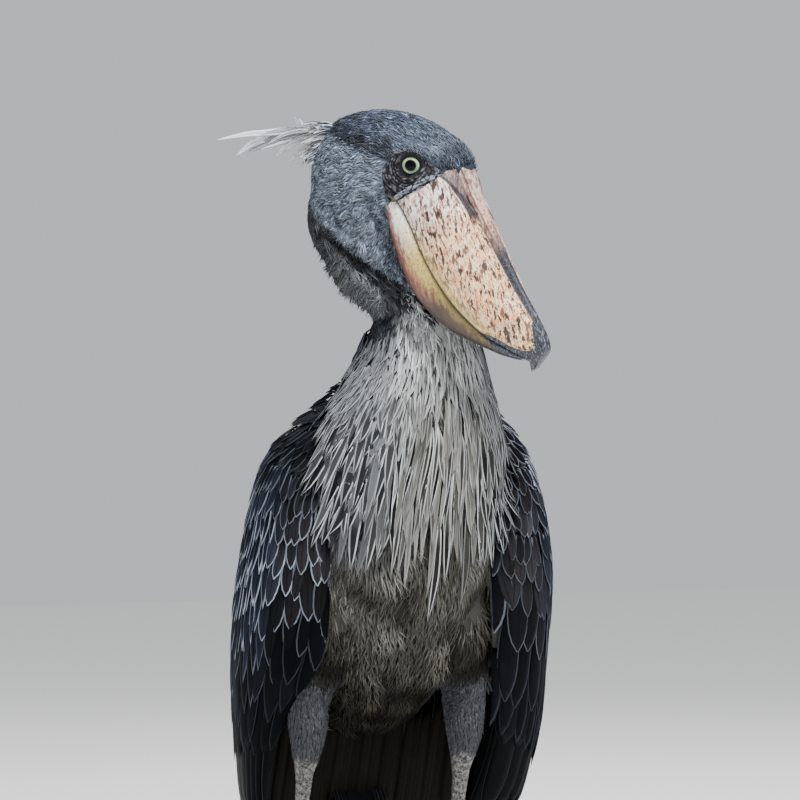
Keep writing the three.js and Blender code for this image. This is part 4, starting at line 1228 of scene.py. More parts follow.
def bill_upper_finish():
    paint = Paint("upper_bill_finish", Coat_Roughness=0.3, Coat_Weight=0.15)
    blend, step, noise = paint.blend, paint.step, paint.noise
    F, U, L, streaks = bill_slanted(paint)
    rim, ridge, nail, mark = (paint.layer(k) for k in ("rim", "ridge", "nail", "mark"))

    def dabs(along, across, detail=2, rough=0.55):
        return noise(paint.stretched(streaks, (along, across, across)), 1, detail, rough)

    cloud, broad = dabs(7, 17, 5, 0.75), noise(streaks, 3.2, 2)
    fine, veins = dabs(34, 110, 3, 0.7), dabs(13, 60, 4, 0.75)
    rear = 1 - step(F + (cloud - 0.5) * 0.6, 0.5, 1)
    body = blend(rear, "bill", "bill_rose")
    pale = blend(rear, "bill_pale", "bill_cream")
    # Pale patches over the bill: partly worn horn, partly painted highlights.
    worn_and_highlit = blend(step(cloud + (fine - 0.5) * 0.5, 0.38, 0.52), body, pale)
    # Fine dark streaks, then dabs of three sizes.
    dark = blend(step(veins + rear * 0.02, 0.5, 0.59) * 0.7, worn_and_highlit, ("bill_blotch", 2.2))
    dark = blend(step(fine, 0.55, 0.63) * 0.7, dark, ("bill_blotch", 1.2))
    middle = step(dabs(11, 32, 3) + (broad - 0.5) * 0.15 + rear * 0.012, 0.54, 0.58)
    dark = blend(middle * 0.85, dark, "bill_blotch")
    large = step(dabs(8, 23, 3.5) + (broad - 0.5) * 0.25 + rear * 0.015, 0.565, 0.6)
    dark = blend(large * 0.95, dark, ("bill_blotch", 0.35))
    # Yellow along the mouth, then a black line along its edge: painted shadow of the gap between the two
    # halves.
    band = (1 - step(rim + (cloud - 0.5) * 14, 5, 16)) * step(F, 0.5, 1.2) * (1 - step(F, 1.9, 2.15))
    golden = blend(band * 0.65, dark, ("bill_yellow", 0.8))
    edge = 1 - step(rim + (fine - 0.5) * 1.5 - step(F, 1.9, 2.2) * 3, 1.5, 3.2)
    gap_shaded = blend(edge * 0.92, golden, (0.014, 0.012, 0.014))
    # The ridge: rosy at its root, slate further on; a grey wedge beside it, and black lines of painted shade
    # in the groove and the side slit.
    over = 1 - step(ridge, -0.8, 0.6)
    slate = step(F + (cloud - 0.5) * 0.5, 0.9, 1.4)
    top = blend(slate, blend(0.5, dark, ("bill_rose", 0.55)), ("horn", 0.5))
    top = blend(step(fine, 0.53, 0.64) * 0.4 * slate, top, ("bare_pale", 0.7))
    near = 1 - step(F + (fine - 0.5) * 0.08, 0.84, 0.98)
    wedge = step(mark + (fine - 0.5) * 2, 0, 1) * (1 - over) * near
    grey = blend(step(veins, 0.44, 0.6), (0.035, 0.03, 0.045), ("bill_rose", 0.5))
    grey = blend(step(fine, 0.5, 0.62) * 0.7, grey, (0.012, 0.01, 0.016))
    ridged = blend(wedge * 0.92, blend(over, gap_shaded, top), grey)
    # Black lines in the groove beside the ridge and in the side slit: painted shade.
    line = 1 - step((ridge - 0.3).maths("ABSOLUTE") + (fine - 0.5) * 1.4, 1.1, 2.4)
    ridged = blend(line * (0.7 + slate * 0.28), ridged, (0.012, 0.01, 0.016))
    side_line = 1 - step(mark.maths("ABSOLUTE") + (fine - 0.5) * 1.4, 0.9, 2.1)
    ridged = blend(side_line * near * 0.95, ridged, (0.01, 0.009, 0.013))
    crack = 1 - step((ridge + 5 + (cloud - 0.5) * 5).maths("ABSOLUTE"), 0.4, 1.4)
    ridged = blend(crack * 0.8 * (1 - slate), ridged, ("bill_blotch", 0.3))
    # Pale streaks on the dark nail: painted highlights.
    horn = blend(step(veins, 0.5, 0.64) * 0.7, ("horn", 0.5), ("bare_pale", 0.7))
    done = blend(step(nail + (cloud - 0.5) * 0.4, 0.35, 0.6), ridged, horn)
    paint.bump(cloud * 0.5 + fine * 0.5, 0.5, 0.0012)
    return paint.base(done, 0.45 + (cloud - 0.5) * 0.3)


def bill_lower_finish():
    paint = Paint("lower_bill_finish", Coat_Roughness=0.3, Coat_Weight=0.15)
    blend, step, noise, layer = paint.blend, paint.step, paint.noise, paint.layer
    F, U, L, streaks = bill_slanted(paint)
    rim, low = layer("rim"), layer("ridge")
    cloud = noise(paint.stretched(streaks, (8, 26, 26)), 1, 4, 0.7)
    fine = noise(paint.stretched(streaks, (30, 80, 80)), 1, 3, 0.7)
    pale = blend(step(F + (cloud - 0.5) * 0.5, 0.35, 0.95), "bill_cream", "bill_yellow")
    pale = blend(step(cloud * 0.6 + fine * 0.4, 0.5, 0.6) * 0.45, pale, ("bill_red", 1.2))
    olive = blend(step(F, 0.9, 1.6), pale, ("bill_yellow", 0.36))
    rear = 1 - step(F + (cloud - 0.5) * 0.4, 1, 1.5)
    brown = blend(rear, (0.055, 0.03, 0.016), "bill_red")
    blush = blend(step(low + (cloud - 0.5) * 0.5 - rear * 0.14, 0.22, 0.38) * 0.85, olive, brown)
    # Painted shade on the underside of the lower bill: past its own red-brown, it darkens to near black at
    # the rear and to dark red further forward.
    dark = blend(rear, (0.02, 0.014, 0.012), ("bill_red", 0.3))
    ruddy = blend(step(low + (cloud - 0.5) * 0.3 - rear * 0.06, 0.36, 0.56) * 0.9, blush, dark)
    veined = blend(step(fine, 0.52, 0.62) * 0.65, ruddy, ("bill_blotch", 1.2))
    # A black line along the mouth edge: painted shadow of the gap between the two halves.
    edge = 1 - step(rim + (fine - 0.5) * 1, 1.2, 2.6)
    gap_shaded = blend(edge * 0.9, veined, (0.014, 0.012, 0.014))
    tip = step(F + (cloud - 0.5) * 0.2 + (1 - step(rim, 2, 9)) * 0.2, 2.08, 2.24)
    horn = blend(step(fine, 0.5, 0.7) * 0.5, ("horn", 0.6), "bare_pale")
    done = blend(tip, gap_shaded, horn)
    paint.bump(cloud * 0.5 + fine * 0.5, 0.4, 0.001)
    return paint.base(done, 0.42 + (cloud - 0.5) * 0.3)


class SHOEBILL_OT_bill(Piece, bpy.types.Operator):
    """Builds the upper and the lower bill with its hook, ridge, grooves and nostrils"""

    bl_idname = "shoebill.bill"
    bl_label = "Bill"

    def execute(self, context):
        make_bill()
        return {"FINISHED"}


# Outline of the bare skin round the eye and along the bill's base, as F and U, and that base.
BARE = [
    (-9.5, 41), (-9.5, 48), (-8, 57), (-3, 66), (6, 73), (15, 77), (25.5, 82.5), (34, 85), (35.5, 72),
        (33, 56), (30, 38),
    (28.5, 27), (21, 22), (12, 24), (4, 30), (-4, 35),
]
BILL_BASE = [(28, 26), (29.5, 38), (32, 56), (34.3, 72), (36.2, 86)]


def bare_reach(turn):
    """How far the bare skin reaches from the eye's middle, at angles from forward to up."""
    corners = array(BARE, float)
    share = linspace(0, 1, 24, endpoint=False)[None, :, None]
    line = corners[:, None] * (1 - share) + np.roll(corners, -1, 0)[:, None] * share
    line = line.reshape(-1, 2) - (EYE["F"], EYE["U"])
    return interp(turn, np.degrees(arctan2(line[:, 1], line[:, 0])), hypot(*line.T), period=360)


def from_line(F, U, corners):
    """Distance in the head's side view to a line through corners."""
    place = stack(np.broadcast_arrays(F, U), -1)[..., None, :]
    a = array(corners[:-1], float)
    b = array(corners[1:], float)
    share = clip(dot(place - a, b - a) / dot(b - a, b - a), 0, 1)[..., None]
    return np.linalg.norm(place - a - (b - a) * share, axis=-1).min(-1)


def make_eyes():
    eye_finish, face_finish = eyes_eye_finish(), eyes_face_finish()
    for name, side in SIDES:
        eyes_ball(name, side, eye_finish)
        eyes_face(name, side, face_finish)


def eyes_ball(name, side, finish):
    way, middle = eye_way(side), eye_middle(side)
    up = level(CROWN_WAY, way)
    right = cross(up, way)
    polar = linspace(0.02, math.pi - 0.02, 60)
    turn = linspace(0, 2 * math.pi, 65)[:-1]
    radius = EYE["radius"] + 0.9 * exp(-(polar / 0.55) ** 4)
    flat = radius * np.sin(polar)
    ring = (middle + (radius * np.cos(polar))[:, None, None] * way
        + (flat[:, None] * np.cos(turn))[..., None] * right + (flat[:, None] * np.sin(turn))[..., None]
        * up)
    points, faces = tube(ring)
    out = join(np.repeat(flat * np.where(polar < math.pi / 2, 1, 9), 64), [0, 99])
    spin = join(tile(stack([np.cos(turn), np.sin(turn), 0 * turn], -1), (60, 1)), np.zeros((2, 3)))
    obj = new_object("eyeball_" + name, points, faces[:, ::-1], {"out": out, "spin": spin})
    settled(obj, "eye_" + name, slot="eyes", finish=finish)


def eyes_face(name, side, finish):
    """Lids, wrinkles and the folds beside the bill, as rings from the eye out to the feathers."""
    way, middle = eye_way(side), eye_middle(side)
    ahead = level(BILL_WAY, way)
    up = level(CROWN_WAY, way)
    turn = linspace(-180, 180, 181)[:-1]
    reach = bare_reach(turn)
    edge = from_line(EYE["F"] + reach * np.cos(radians(turn)), EYE["U"] + reach * np.sin(radians(turn)),
        BILL_BASE)
    reach = reach + 3.5 * smooth(edge, 1, 4) + 0.6
    # The upper lid hangs a little over the iris.
    droop = exp(-((np.mod(turn - 138 + 180, 360) - 180) / 50) ** 2)
    inner = 9.5 - 1.2 * droop
    rim = np.sqrt(EYE["radius"] ** 2 - inner ** 2)
    first = stack([inner, inner + 0.35, inner + 1.2, inner + 2.6])
    high = stack([rim - 0.6, rim + 0.8, rim + 1.4 + 0.6 * droop, rim + 0.3 + 1.4 * droop])
    share = shares(47)[1:, None]
    r = join(first, first[-1] + (reach - first[-1]) * share)
    lift = join(high, high[-1:] * np.ones((46, 1)))
    part = join(np.zeros((4, 1)), share) + 0 * r
    cosine, sine = np.cos(radians(turn)), np.sin(radians(turn))
    near = middle + ahead * (r * cosine)[..., None] + up * (r * sine)[..., None] + way * lift[..., None]
    F, U = EYE["F"] + r * cosine, EYE["U"] + r * sine
    start = on_head(F, U, 95 * side + 0 * F).reshape(-1, 3)
    depth = full(len(start), 20)
    for surface in (MADE["body"], MADE["upper_bill"], MADE["lower_bill"]):
        hits = surface.rays(start, -side * LEFT_WAY)
        found = in_head(hits)[2] * side
        depth = np.fmax(depth, found)
    depth = depth.reshape(r.shape)
    base = from_line(F, U, BILL_BASE)
    rough = clumps(stack([F, U, 0 * F], -1), 2.6, 12)
    wave = base + 0.7 * rough + 0.5 * clumps(stack([F, U, 0 * F], -1), 5, 14)
    strip = 1 * bell(wave, 1.7, 0.9) + 1.1 * bell(wave, 4.4, 1.2) - 0.6 * bell(wave, 3, 0.6)
    strip += 0.3 * rough
    rings = 0.5 * np.cos((r - 14.9) * 2 * math.pi / 3.2 + 1.3 * np.sin(radians(turn) * 2 + 1) + 1
        * rough) * smooth(r, 13.4, 15)
    rings = rings * (0.65 + 0.35 * clumps(stack([F, U, 0 * F], -1), 7, 13)) + 0.3 * rough * smooth(r, 13, 15)
    open_ = smooth(base, 5, 6.5)
    fold = strip * (1 - open_) + rings * open_
    orbit = 2.4 * (1 - smooth(r, 13, 21)) * open_
    sink = 2.6 * smooth(part, 0.9, 1) * smooth(edge, 1, 4) + 1.3 * smooth(part, 0.955,
        1) * (1 - smooth(edge, 1, 4))
    far = on_head(F, U, side * (depth + 0.9 + fold + orbit - sink))
    ease = smooth(r, 12.4, 16.5)[..., None]
    buried = clip(depth + 0.5 - in_head(near.reshape(-1, 3))[2].reshape(r.shape) * side, 0,
        9) * smooth(r - inner, 0.8, 2.4)
    near = near + side * LEFT_WAY * buried[..., None]
    points = (near * (1 - ease) + far * ease).reshape(-1, 3)
    faces = grid_faces(*r.shape, closed=True)
    if side < 0:
        faces = faces[:, ::-1]
    # A black ring round the eye: the lid's own black, made wider under the upper lid as painted shadow from
    # the brow.
    lid = 1 - smooth(r - inner, 2 + 2 * droop, 4 + 3.4 * droop)
    layers = {"own": stack([F, U, 0 * F], -1).reshape(-1, 3) / 100, "fold": (fold * ease[..., 0]).ravel(),
        "lid": lid.ravel(), "pale": (1 - open_).ravel() * 1, "base": base.ravel()}
    obj = new_object("face_skin_" + name, points, faces, layers)
    settled(obj, "head", slot="head_feathers", finish=finish)


def eyes_eye_finish():
    paint = Paint("eye_finish", Roughness=0.3, Specular_IOR_Level=0.05, Coat_Weight=0.12, Coat_Roughness=0.03)
    blend, step, layer = paint.blend, paint.step, paint.layer
    out = layer("out")
    spin = layer("spin", "Vector")
    rays = paint.noise(paint.stretched(spin, (9, 9, 9)), 1.6, 3)
    iris = blend(step(rays, 0.35, 0.7) * 0.4, "iris", ("iris", 0.55))
    inner = blend(step(out, 5.9, 7.6), ("iris", 0.4), iris)
    pupil = blend(step(out, 5.6, 6.2), (0.001, 0.001, 0.001), inner)
    done = blend(step(out, 8.5, 9.3), pupil, (0.006, 0.006, 0.007))
    return paint.base(done)


def eyes_face_finish():
    paint = Paint("bare_face_finish", Specular_IOR_Level=0.15)
    blend, step, noise, layer = paint.blend, paint.step, paint.noise, paint.layer
    own = layer("own", "Vector")
    F, U, _ = paint.split(own)
    grain = noise(own, 70, 4, 0.65)
    coarse = noise(own, 22, 3, 0.6)
    fold, lid, pale, base = (layer(k) for k in ("fold", "lid", "pale", "base"))
    # Painted light and shade on the folds: their tops take the paler colours, lightened as painted
    # highlights, and the grooves take the dark bare skin, darkened further as painted shade; the pale strip's
    # blue and the gape's yellow are the skin's own.
    raised = step(fold + (grain - 0.5) * 0.8, -0.35, 0.45)
    skin = blend(raised * step(coarse, 0.4, 0.62), ("bare", 0.25), ("bare_warm", 1.1))
    strip = blend(raised * step(coarse, 0.36, 0.58), ("bare", 0.3), ("bare_pale", 0.8))
    mouth = blend(raised * step(coarse, 0.4, 0.6), ("bare", 0.35), ("bill_yellow", 0.4))
    strip = blend(1 - step(U + (grain - 0.5) * 0.06, 0.27, 0.31), strip, mouth)
    done = blend(pale, skin, strip)
    done = blend((1 - step(base, 0.3, 1.1)) * 0.9, done, (0.012, 0.011, 0.013))
    # The black lid ring, widened at the top by painted shadow from the brow.
    done = blend(lid, done, (0.006, 0.006, 0.007))
    paint.bump(grain, 0.6, 0.001)
    return paint.base(done, 0.6)


class SHOEBILL_OT_eyes(Piece, bpy.types.Operator):
    """Builds the eyes, their lids and the bare folded skin round them"""

    bl_idname = "shoebill.eyes"
    bl_label = "Eyes and bare face"

    def execute(self, context):
        make_eyes()
        return {"FINISHED"}


def seen_roots(points, limit=4):
    """Roots brought onto the body's skin; those that lie under another part are dropped."""
    spot, out, far = MADE["body"].nearest(points)
    return spot, out, far < limit


def bare_face(F, U):
    """1 where no feather grows: round the eye and along the bill's base."""
    turn = np.degrees(arctan2(U - EYE["U"], F - EYE["F"]))
    return hypot(U - EYE["U"], F - EYE["F"]) < bare_reach(turn) - 0.3


def in_bill(roots, out):
    """True inside either half of the bill, and past the line where the feathers over it end."""
    F, U, L = in_head(roots)
    start = FACE["upper"] + 0.5 + FACE["slope"] * maximum(U - FACE["above"], 0)
    over = (U > 27) & (F > start) & (np.abs(L) < profile(BILL_WIDTH, F) + 6) & (U < profile(CULMEN, F) + 3)
    near = (U <= 27) & (F > 10)
    spots = roots[near] + 0.8 * out[near]
    over[near] = MADE["upper_bill"].inside(spots) | MADE["lower_bill"].inside(spots)
    return over


def turned(ways, out, degrees):
    """Ways swung about the skin's outward way."""
    side = cross(out, ways)
    angle = radians(degrees)[:, None]
    return ways * np.cos(angle) + side * np.sin(angle)


def make_head_feathers():
    rng = np.random.default_rng(21)
    gap = millimetres("head_gap")
    latitude, angle = lattice(head_skin, (-1.54, 1.54), (-180, 180), (gap, gap), rng)
    roots, out, near = seen_roots(head_skin(latitude, angle, -HEAD_COAT, cap=1.6), 7)
    unwrap = pairs(latitude / 3.2 + 0.5, angle / 372 + 0.5)
    jaw, jaw_unwrap = head_jowl(rng, gap)
    spots, outs, close = seen_roots(jaw, 4)
    roots, out = join(roots, spots), join(out, outs)
    unwrap, near = join(unwrap, jaw_unwrap), join(near, close)
    F, U, L = in_head(roots)
    near &= ~in_bill(roots, out) & ~bare_face(F, U) & (U > -95)
    roots, out, unwrap, F, U, L = roots[near], out[near], unwrap[near], F[near], U[near], L[near]
    n = len(F)
    ways = head_lie(F, U, L)
    crown = crown_share(F, U)
    lump = clumps(roots, 6.5, 3)
    ways = turned(level(ways, out), out, lump * np.where(crown > 0.5, 13, 24) + rng.normal(0, 9, n))
    tint = head_marks(roots)
    below = below_crease(F, U)
    nape = smooth(below, 0, 8)
    eye = hypot(F - EYE["F"], U - EYE["U"])
    small = smooth(eye, 17, 46)
    length = millimetres("head_feather") * (0.8 + 0.45 * rng.random(n)) * (0.6 + 0.4 * small) * (1 + 0.15
        * crown)
    length *= (1 + 0.9 * nape) * (1 - 0.4 * bell(below, -5, 5))
    half = (0.72 + 0.3 * rng.random(n)) * (0.75 + 0.25 * small)
    edge = exp(-((U - (50 + 0.57 * F)) / 4) ** 2) * smooth(-F, -2, 10)
    stand = 1 + 0.8 * rng.random(n) + 0.35 * clip(lump, -1.5, 1.5) * (1
        - crown) + 0.5 * nape * rng.random(n) + 0.8 * edge
    stand *= 0.55 + 0.45 * small
    tint = tint * exp(0.3 * lump + 0.46 * clumps(roots, 2.2, 4))[:, None]
    curve = 95 - 55 * nape
    tufts = roots, out, ways, length, half, stand, tint, unwrap
    coats = [Coat(), Coat()]
    for k, coat in enumerate(coats):
        for hug in (False, True):
            close_by = (np.abs(below - 3) < 20) & (F > -40) | (F > 18) & (U < 26)
            pick = ((L > 0) == bool(k)) & (close_by == hug)
            add_tufts(coat, tufts, rng, pick, curve=curve[pick], bow=0.8, hug=hug, light=0.135)
    finish = feather_finish("head_feather_finish", edge="plume", edge_share=0.25, shaft="brow",
        shaft_share=0.2, spread=1, mottle=0.35, mottle_size=160, root_shade=0.5)
    for coat, name in zip(coats, ("right", "left")):
        coat.build("head_feathers_" + name, finish, "head_feathers", "head")


def head_lie(F, U, L):
    """Back over the crown, back and down over the cheek, straight down at the nape and throat."""
    angle = np.degrees(arctan2(U - HEAD_CORE[1], F - HEAD_CORE[0]))
    over = clip(angle, 20, 175) + 90
    high = 0.592 * U - 0.806 * F
    cheek = -128 + 70 * smooth(-high, -32, 62) + 22 * smooth(-(0.5225 * F + 0.712 * U), 20, 90)
    way = radians(np.where(crown_share(F, U) > 0.5, over, cheek))
    return np.cos(way)[:, None] * BILL_WAY + np.sin(way)[:, None] * CROWN_WAY + 0.2 * np.sign(L)[:,
        None] * LEFT_WAY


def head_jowl(rng, gap):
    """Roots over the chin and the nape, and over the cheeks at the bill's base."""
    base, places = [], []
    for k, table in enumerate((CHIN_BAG, NAPE_BAG)):
        share, turn = lattice(lambda p, q: bag(table, p, q), (0, 1), (0, 2 * math.pi), (gap, gap), rng)
        base.append(bag(table, share, turn))
        places.append(pairs(share * 0.9 + 0.05, turn / 13 + 0.5 * k))
    for F0, F1, U0, U1 in ((2, 42, -4, 108), (-26, 2, 54, 108), (6, 64, -40, -4), (-30, 104, -104, -40.1)):
        F, U = crossed(arange(F0, F1, gap), arange(U0, U1, gap))
        F, U = (k + rng.uniform(-0.4, 0.4, F.shape) * gap for k in (F, U))
        for _, side in SIDES:
            flat = on_head(F, U, 90 * side).reshape(-1, 3)
            hits = MADE["body"].rays(flat, -side * LEFT_WAY)
            found = isfinite(hits[:, 0])
            if U0 < -20:
                found &= (np.abs(below_crease(F, U) - 8) < 24).ravel() | (U.ravel() > -40)
            base.append(hits[found])
            places.append((pairs(0.5 + side * (0.1 + F / 300), U / 240 + 0.45).reshape(-1, 2))[found])
    x, z = crossed(arange(-48, 48, gap), arange(-130, -70, gap))
    hits = MADE["body"].rays(at(x + HEAD_MIDDLE[0], 300, z + HEAD_MIDDLE[2]).reshape(-1, 3), at(0, -1, 0))
    F, U, L = in_head(hits)
    found = isfinite(F) & (F > 40) & (np.abs(below_crease(F, U) - 14) < 14)
    base.append(hits[found])
    places.append(pairs(0.5 + x / 200, 1 + z / 300).reshape(-1, 2)[found])
    F, L = crossed(arange(8, 42, gap), arange(-32, 32, gap))
    hits = MADE["body"].rays(on_head(F, 130, L).reshape(-1, 3), -CROWN_WAY)
    found = isfinite(hits[:, 0])
    base.append(hits[found])
    places.append(pairs(0.4 + F / 200, 0.9 + L / 400).reshape(-1, 2)[found])
    return np.concatenate(base), np.concatenate(places)


class SHOEBILL_OT_head_feathers(Piece, bpy.types.Operator):
    """Covers the head with short feathers that lie from the bill to the nape"""

    bl_idname = "shoebill.head_feathers"
    bl_label = "Head feathers"

    def execute(self, context):
        make_head_feathers()
        return {"FINISHED"}


# The main feathers: points of the shaft backward and up, half width, sideways, share of light.
MAIN = [
    ([(0, -1), (36, 1), (75, -1), (108, -3.5), (139, -9)], 3.3, 0, 1.2),
    ([(0, -2), (36, 0), (66, -2), (96, -11.7), (118, -26)], 4.6, 1, 1.25),
    ([(0, -3), (36, -2), (65, -6), (91, -15), (111, -24)], 3.4, -3, 0.7),
    ([(0, -4), (34, -4), (60, -9), (87, -17.5), (109, -23)], 3.5, -1, 1.05),
    ([(0, -1), (36, 0), (70, -1), (94, -1.6), (112, -3)], 2.6, 4, 0.9),
    ([(0, -4), (30, -5), (50, -12), (75, -27)], 4.2, -2, 1.2),
    ([(0, -5), (29, -8), (48, -14), (63, -21)], 2.6, -5, 0.85),
    ([(14, -1), (36, 1), (43, 6.5), (49, 15.5)], 2.6, 0, 1.1),
    ([(14, 0), (29, 1.6), (35, 5), (38, 9)], 1.6, 3, 1),
    ([(0, -3), (34, -3), (58, -5), (80, -11), (96, -18)], 3, 6, 0.8),
]


def make_crest():
    rng = np.random.default_rng(31)
    coat = Coat()
    crest, crown = shade("crest"), shade("crown")
    kinds = [(path, half, side, crest * light, rng.uniform(-25, 25)) for path, half, side, light in MAIN]
    for k in range(16):
        path, half, side, light = MAIN[k % len(MAIN)]
        path = array(path) * rng.uniform(0.55, 0.95) + rng.normal(0, 1.2, 2)
        kinds.append((path, half * rng.uniform(0.3, 0.6), side + rng.normal(0, 5),
            crest * light * rng.uniform(0.4, 0.9), rng.uniform(-60, 60)))
    # Wisps that hang, and the crown's own feathers over the roots.
    for _ in range(30):
        start = array([rng.uniform(14, 34), rng.uniform(-20, -7)])
        end = start + (rng.uniform(0, 26), rng.uniform(-30, -12))
        kinds.append(([start, start + (5, -3), (start + end) / 2 + (3, 0), end], rng.uniform(0.45, 0.8),
            rng.uniform(-12, 12), crest * rng.uniform(0.3, 0.8), rng.uniform(-80, 80)))
    for _ in range(260):
        start = array([rng.uniform(-16, 5), rng.uniform(-24, 5)])
        way = radians(rng.normal(-3, 5) + start[1] * 1.2)
        long_ = rng.uniform(20, 36)
        end = start + long_ * array([math.cos(way), math.sin(way)])
        kinds.append(([start, (start + end) / 2 + (0, 2), end], rng.uniform(1.1, 2.3), rng.uniform(-17, 17),
            mix(crown, crest, rng.uniform(0, 0.35)) * rng.uniform(0.6, 1.3), rng.uniform(-50, 50)))
    for k, kind in enumerate(kinds):
        crest_feather(coat, kind, rng, k / len(kinds))
    finish = feather_finish("crest_finish", edge="plume", edge_share=0.55, edge_wide=1.2,
        shaft="plume_dark", shaft_share=0.25, shaft_wide=0.25, spread=0.3, mottle=0.12, streak=0.45,
        root_shade=0.5)
    coat.build("crest_feathers", finish, "head_feathers", "head")


def crest_feather(coat, kind, rng, place):
    path, half, side, tint, roll = kind
    path = spline(path, 24)
    long_ = np.linalg.norm(diff(path, axis=0), axis=-1).sum()
    back, sky = at(-math.sin(HEAD_TURN), -math.cos(HEAD_TURN), 0), at(0, 0, 1)
    root = on_head(CREST["F"], CREST["U"], side + rng.normal(0, 1))
    slant = math.radians(roll)
    drift = rng.normal(0, 5)

    def rib(p, q, lift):
        share = clip(p / long_, 0, 1)
        spot, ahead = through(path, share), through(path, minimum(share + 0.02, 1)) - through(path,
            maximum(share - 0.02, 0))
        ahead = unit(ahead)
        wide = (sky * ahead[..., :1] - back * ahead[..., 1:]) * math.cos(slant) + LEFT_WAY * math.sin(slant)
        thin = cross(back * ahead[..., :1] + sky * ahead[..., 1:], wide)
        return (root + back * spot[..., :1] + sky * spot[..., 1:] + LEFT_WAY
            * (drift * share ** 2)[..., None] + wide * q[..., None] + thin * lift[..., None])

    add_vanes(coat, rib, np.zeros(1), 0, long_, half * 1.15, 0, tint[None],
        array([[0.1 + 0.8 * place, 0.5]]), rng, rows=16, columns=5, shape=LANCE, sink=0, clear=0,
        camber=0.5 + 0.25 * half, thick=0.35, ragged=0.05, patch=0.02)


class SHOEBILL_OT_crest(Piece, bpy.types.Operator):
    """Grows the loose crest from the back of the crown"""

    bl_idname = "shoebill.crest"
    bl_label = "Crest"

    def execute(self, context):
        make_crest()
        return {"FINISHED"}


def make_neck_feathers():
    rng = np.random.default_rng(41)
    gap = millimetres("neck_gap")
    t, turn = lattice(trunk_skin, (0.55, 1), (0, 360), (gap * 1.5, gap), rng)
    roots, out, near = seen_roots(trunk_skin(t, turn, -coat_depth(t)), 4)
    F, U, L = in_head(roots)
    own = unit(trunk_skin(t, turn, 9) - trunk_skin(t, turn))
    near &= ~in_bill(roots, out) & ((F < -60) | (L > 22) | (below_crease(F, U) > 6)) & (dot(own,
        out) > np.where(L > 22, 0.3, 0.7))
    t, turn, roots, out = t[near], turn[near], roots[near], out[near]
    ways = trunk_skin(t - 0.02, turn) - trunk_skin(t, turn)
    n = len(t)
    lump = clumps(roots * [1, 1, 0.5], 8, 5)
    ways = turned(level(ways, out), out, 5 * lump + rng.normal(0, 6, n))
    length = millimetres("neck_feather") * (0.75 + 0.6 * rng.random(n)) * interp(t, [0.56, 0.7, 0.95],
        [1.6, 1.15, 0.8])
    half = (0.65 + 0.45 * rng.random(n)) * interp(t, [0.56, 0.75], [1.5, 1])
    stand = interp(t, [0.56, 0.7, 1], [4.5, 3.8, 2.6]) * (0.75 + 0.45 * rng.random(n))
    tint = trunk_marks(t, turn) * exp(0.14 * lump + 0.32 * clumps(roots * [1, 1, 0.45], 2.4, 6))[:, None]
    unwrap = pairs(turn / 372 + 0.01, (t - 0.5) * 1.9 + 0.02)
    finish = feather_finish("neck_feather_finish", edge="plume", edge_share=0.4, shaft="neck_side",
        shaft_share=0.12, spread=0.9, mottle=0.2, mottle_size=60, streak=0.3, root_shade=0.1)
    for k, name in enumerate(("front", "rear")):
        pick = (turn > 180) == bool(k)
        coat = Coat()
        add_tufts(coat, (roots, out, ways, length, half, stand, tint, unwrap), rng, pick, rows=4, curve=240,
            twist=0.08, bow=1.8, light=0.8)
        if not k:
            # A closer layer fills what shows between the feathers of the front.
            under = pick & (t > 0.6)
            closer = roots, out, ways, length * 0.9, half * 1.5, stand * 0.5, tint, unwrap
            add_tufts(coat, closer, rng, under, curve=240, twist=0.3, light=0.8)
        coat.build("neck_feathers_" + name, finish, "neck_feathers", "neck")


class SHOEBILL_OT_neck_feathers(Piece, bpy.types.Operator):
    """Covers the neck with fine narrow feathers that run down it"""

    bl_idname = "shoebill.neck_feathers"
    bl_label = "Neck feathers"

    def execute(self, context):
        make_neck_feathers()
        return {"FINISHED"}


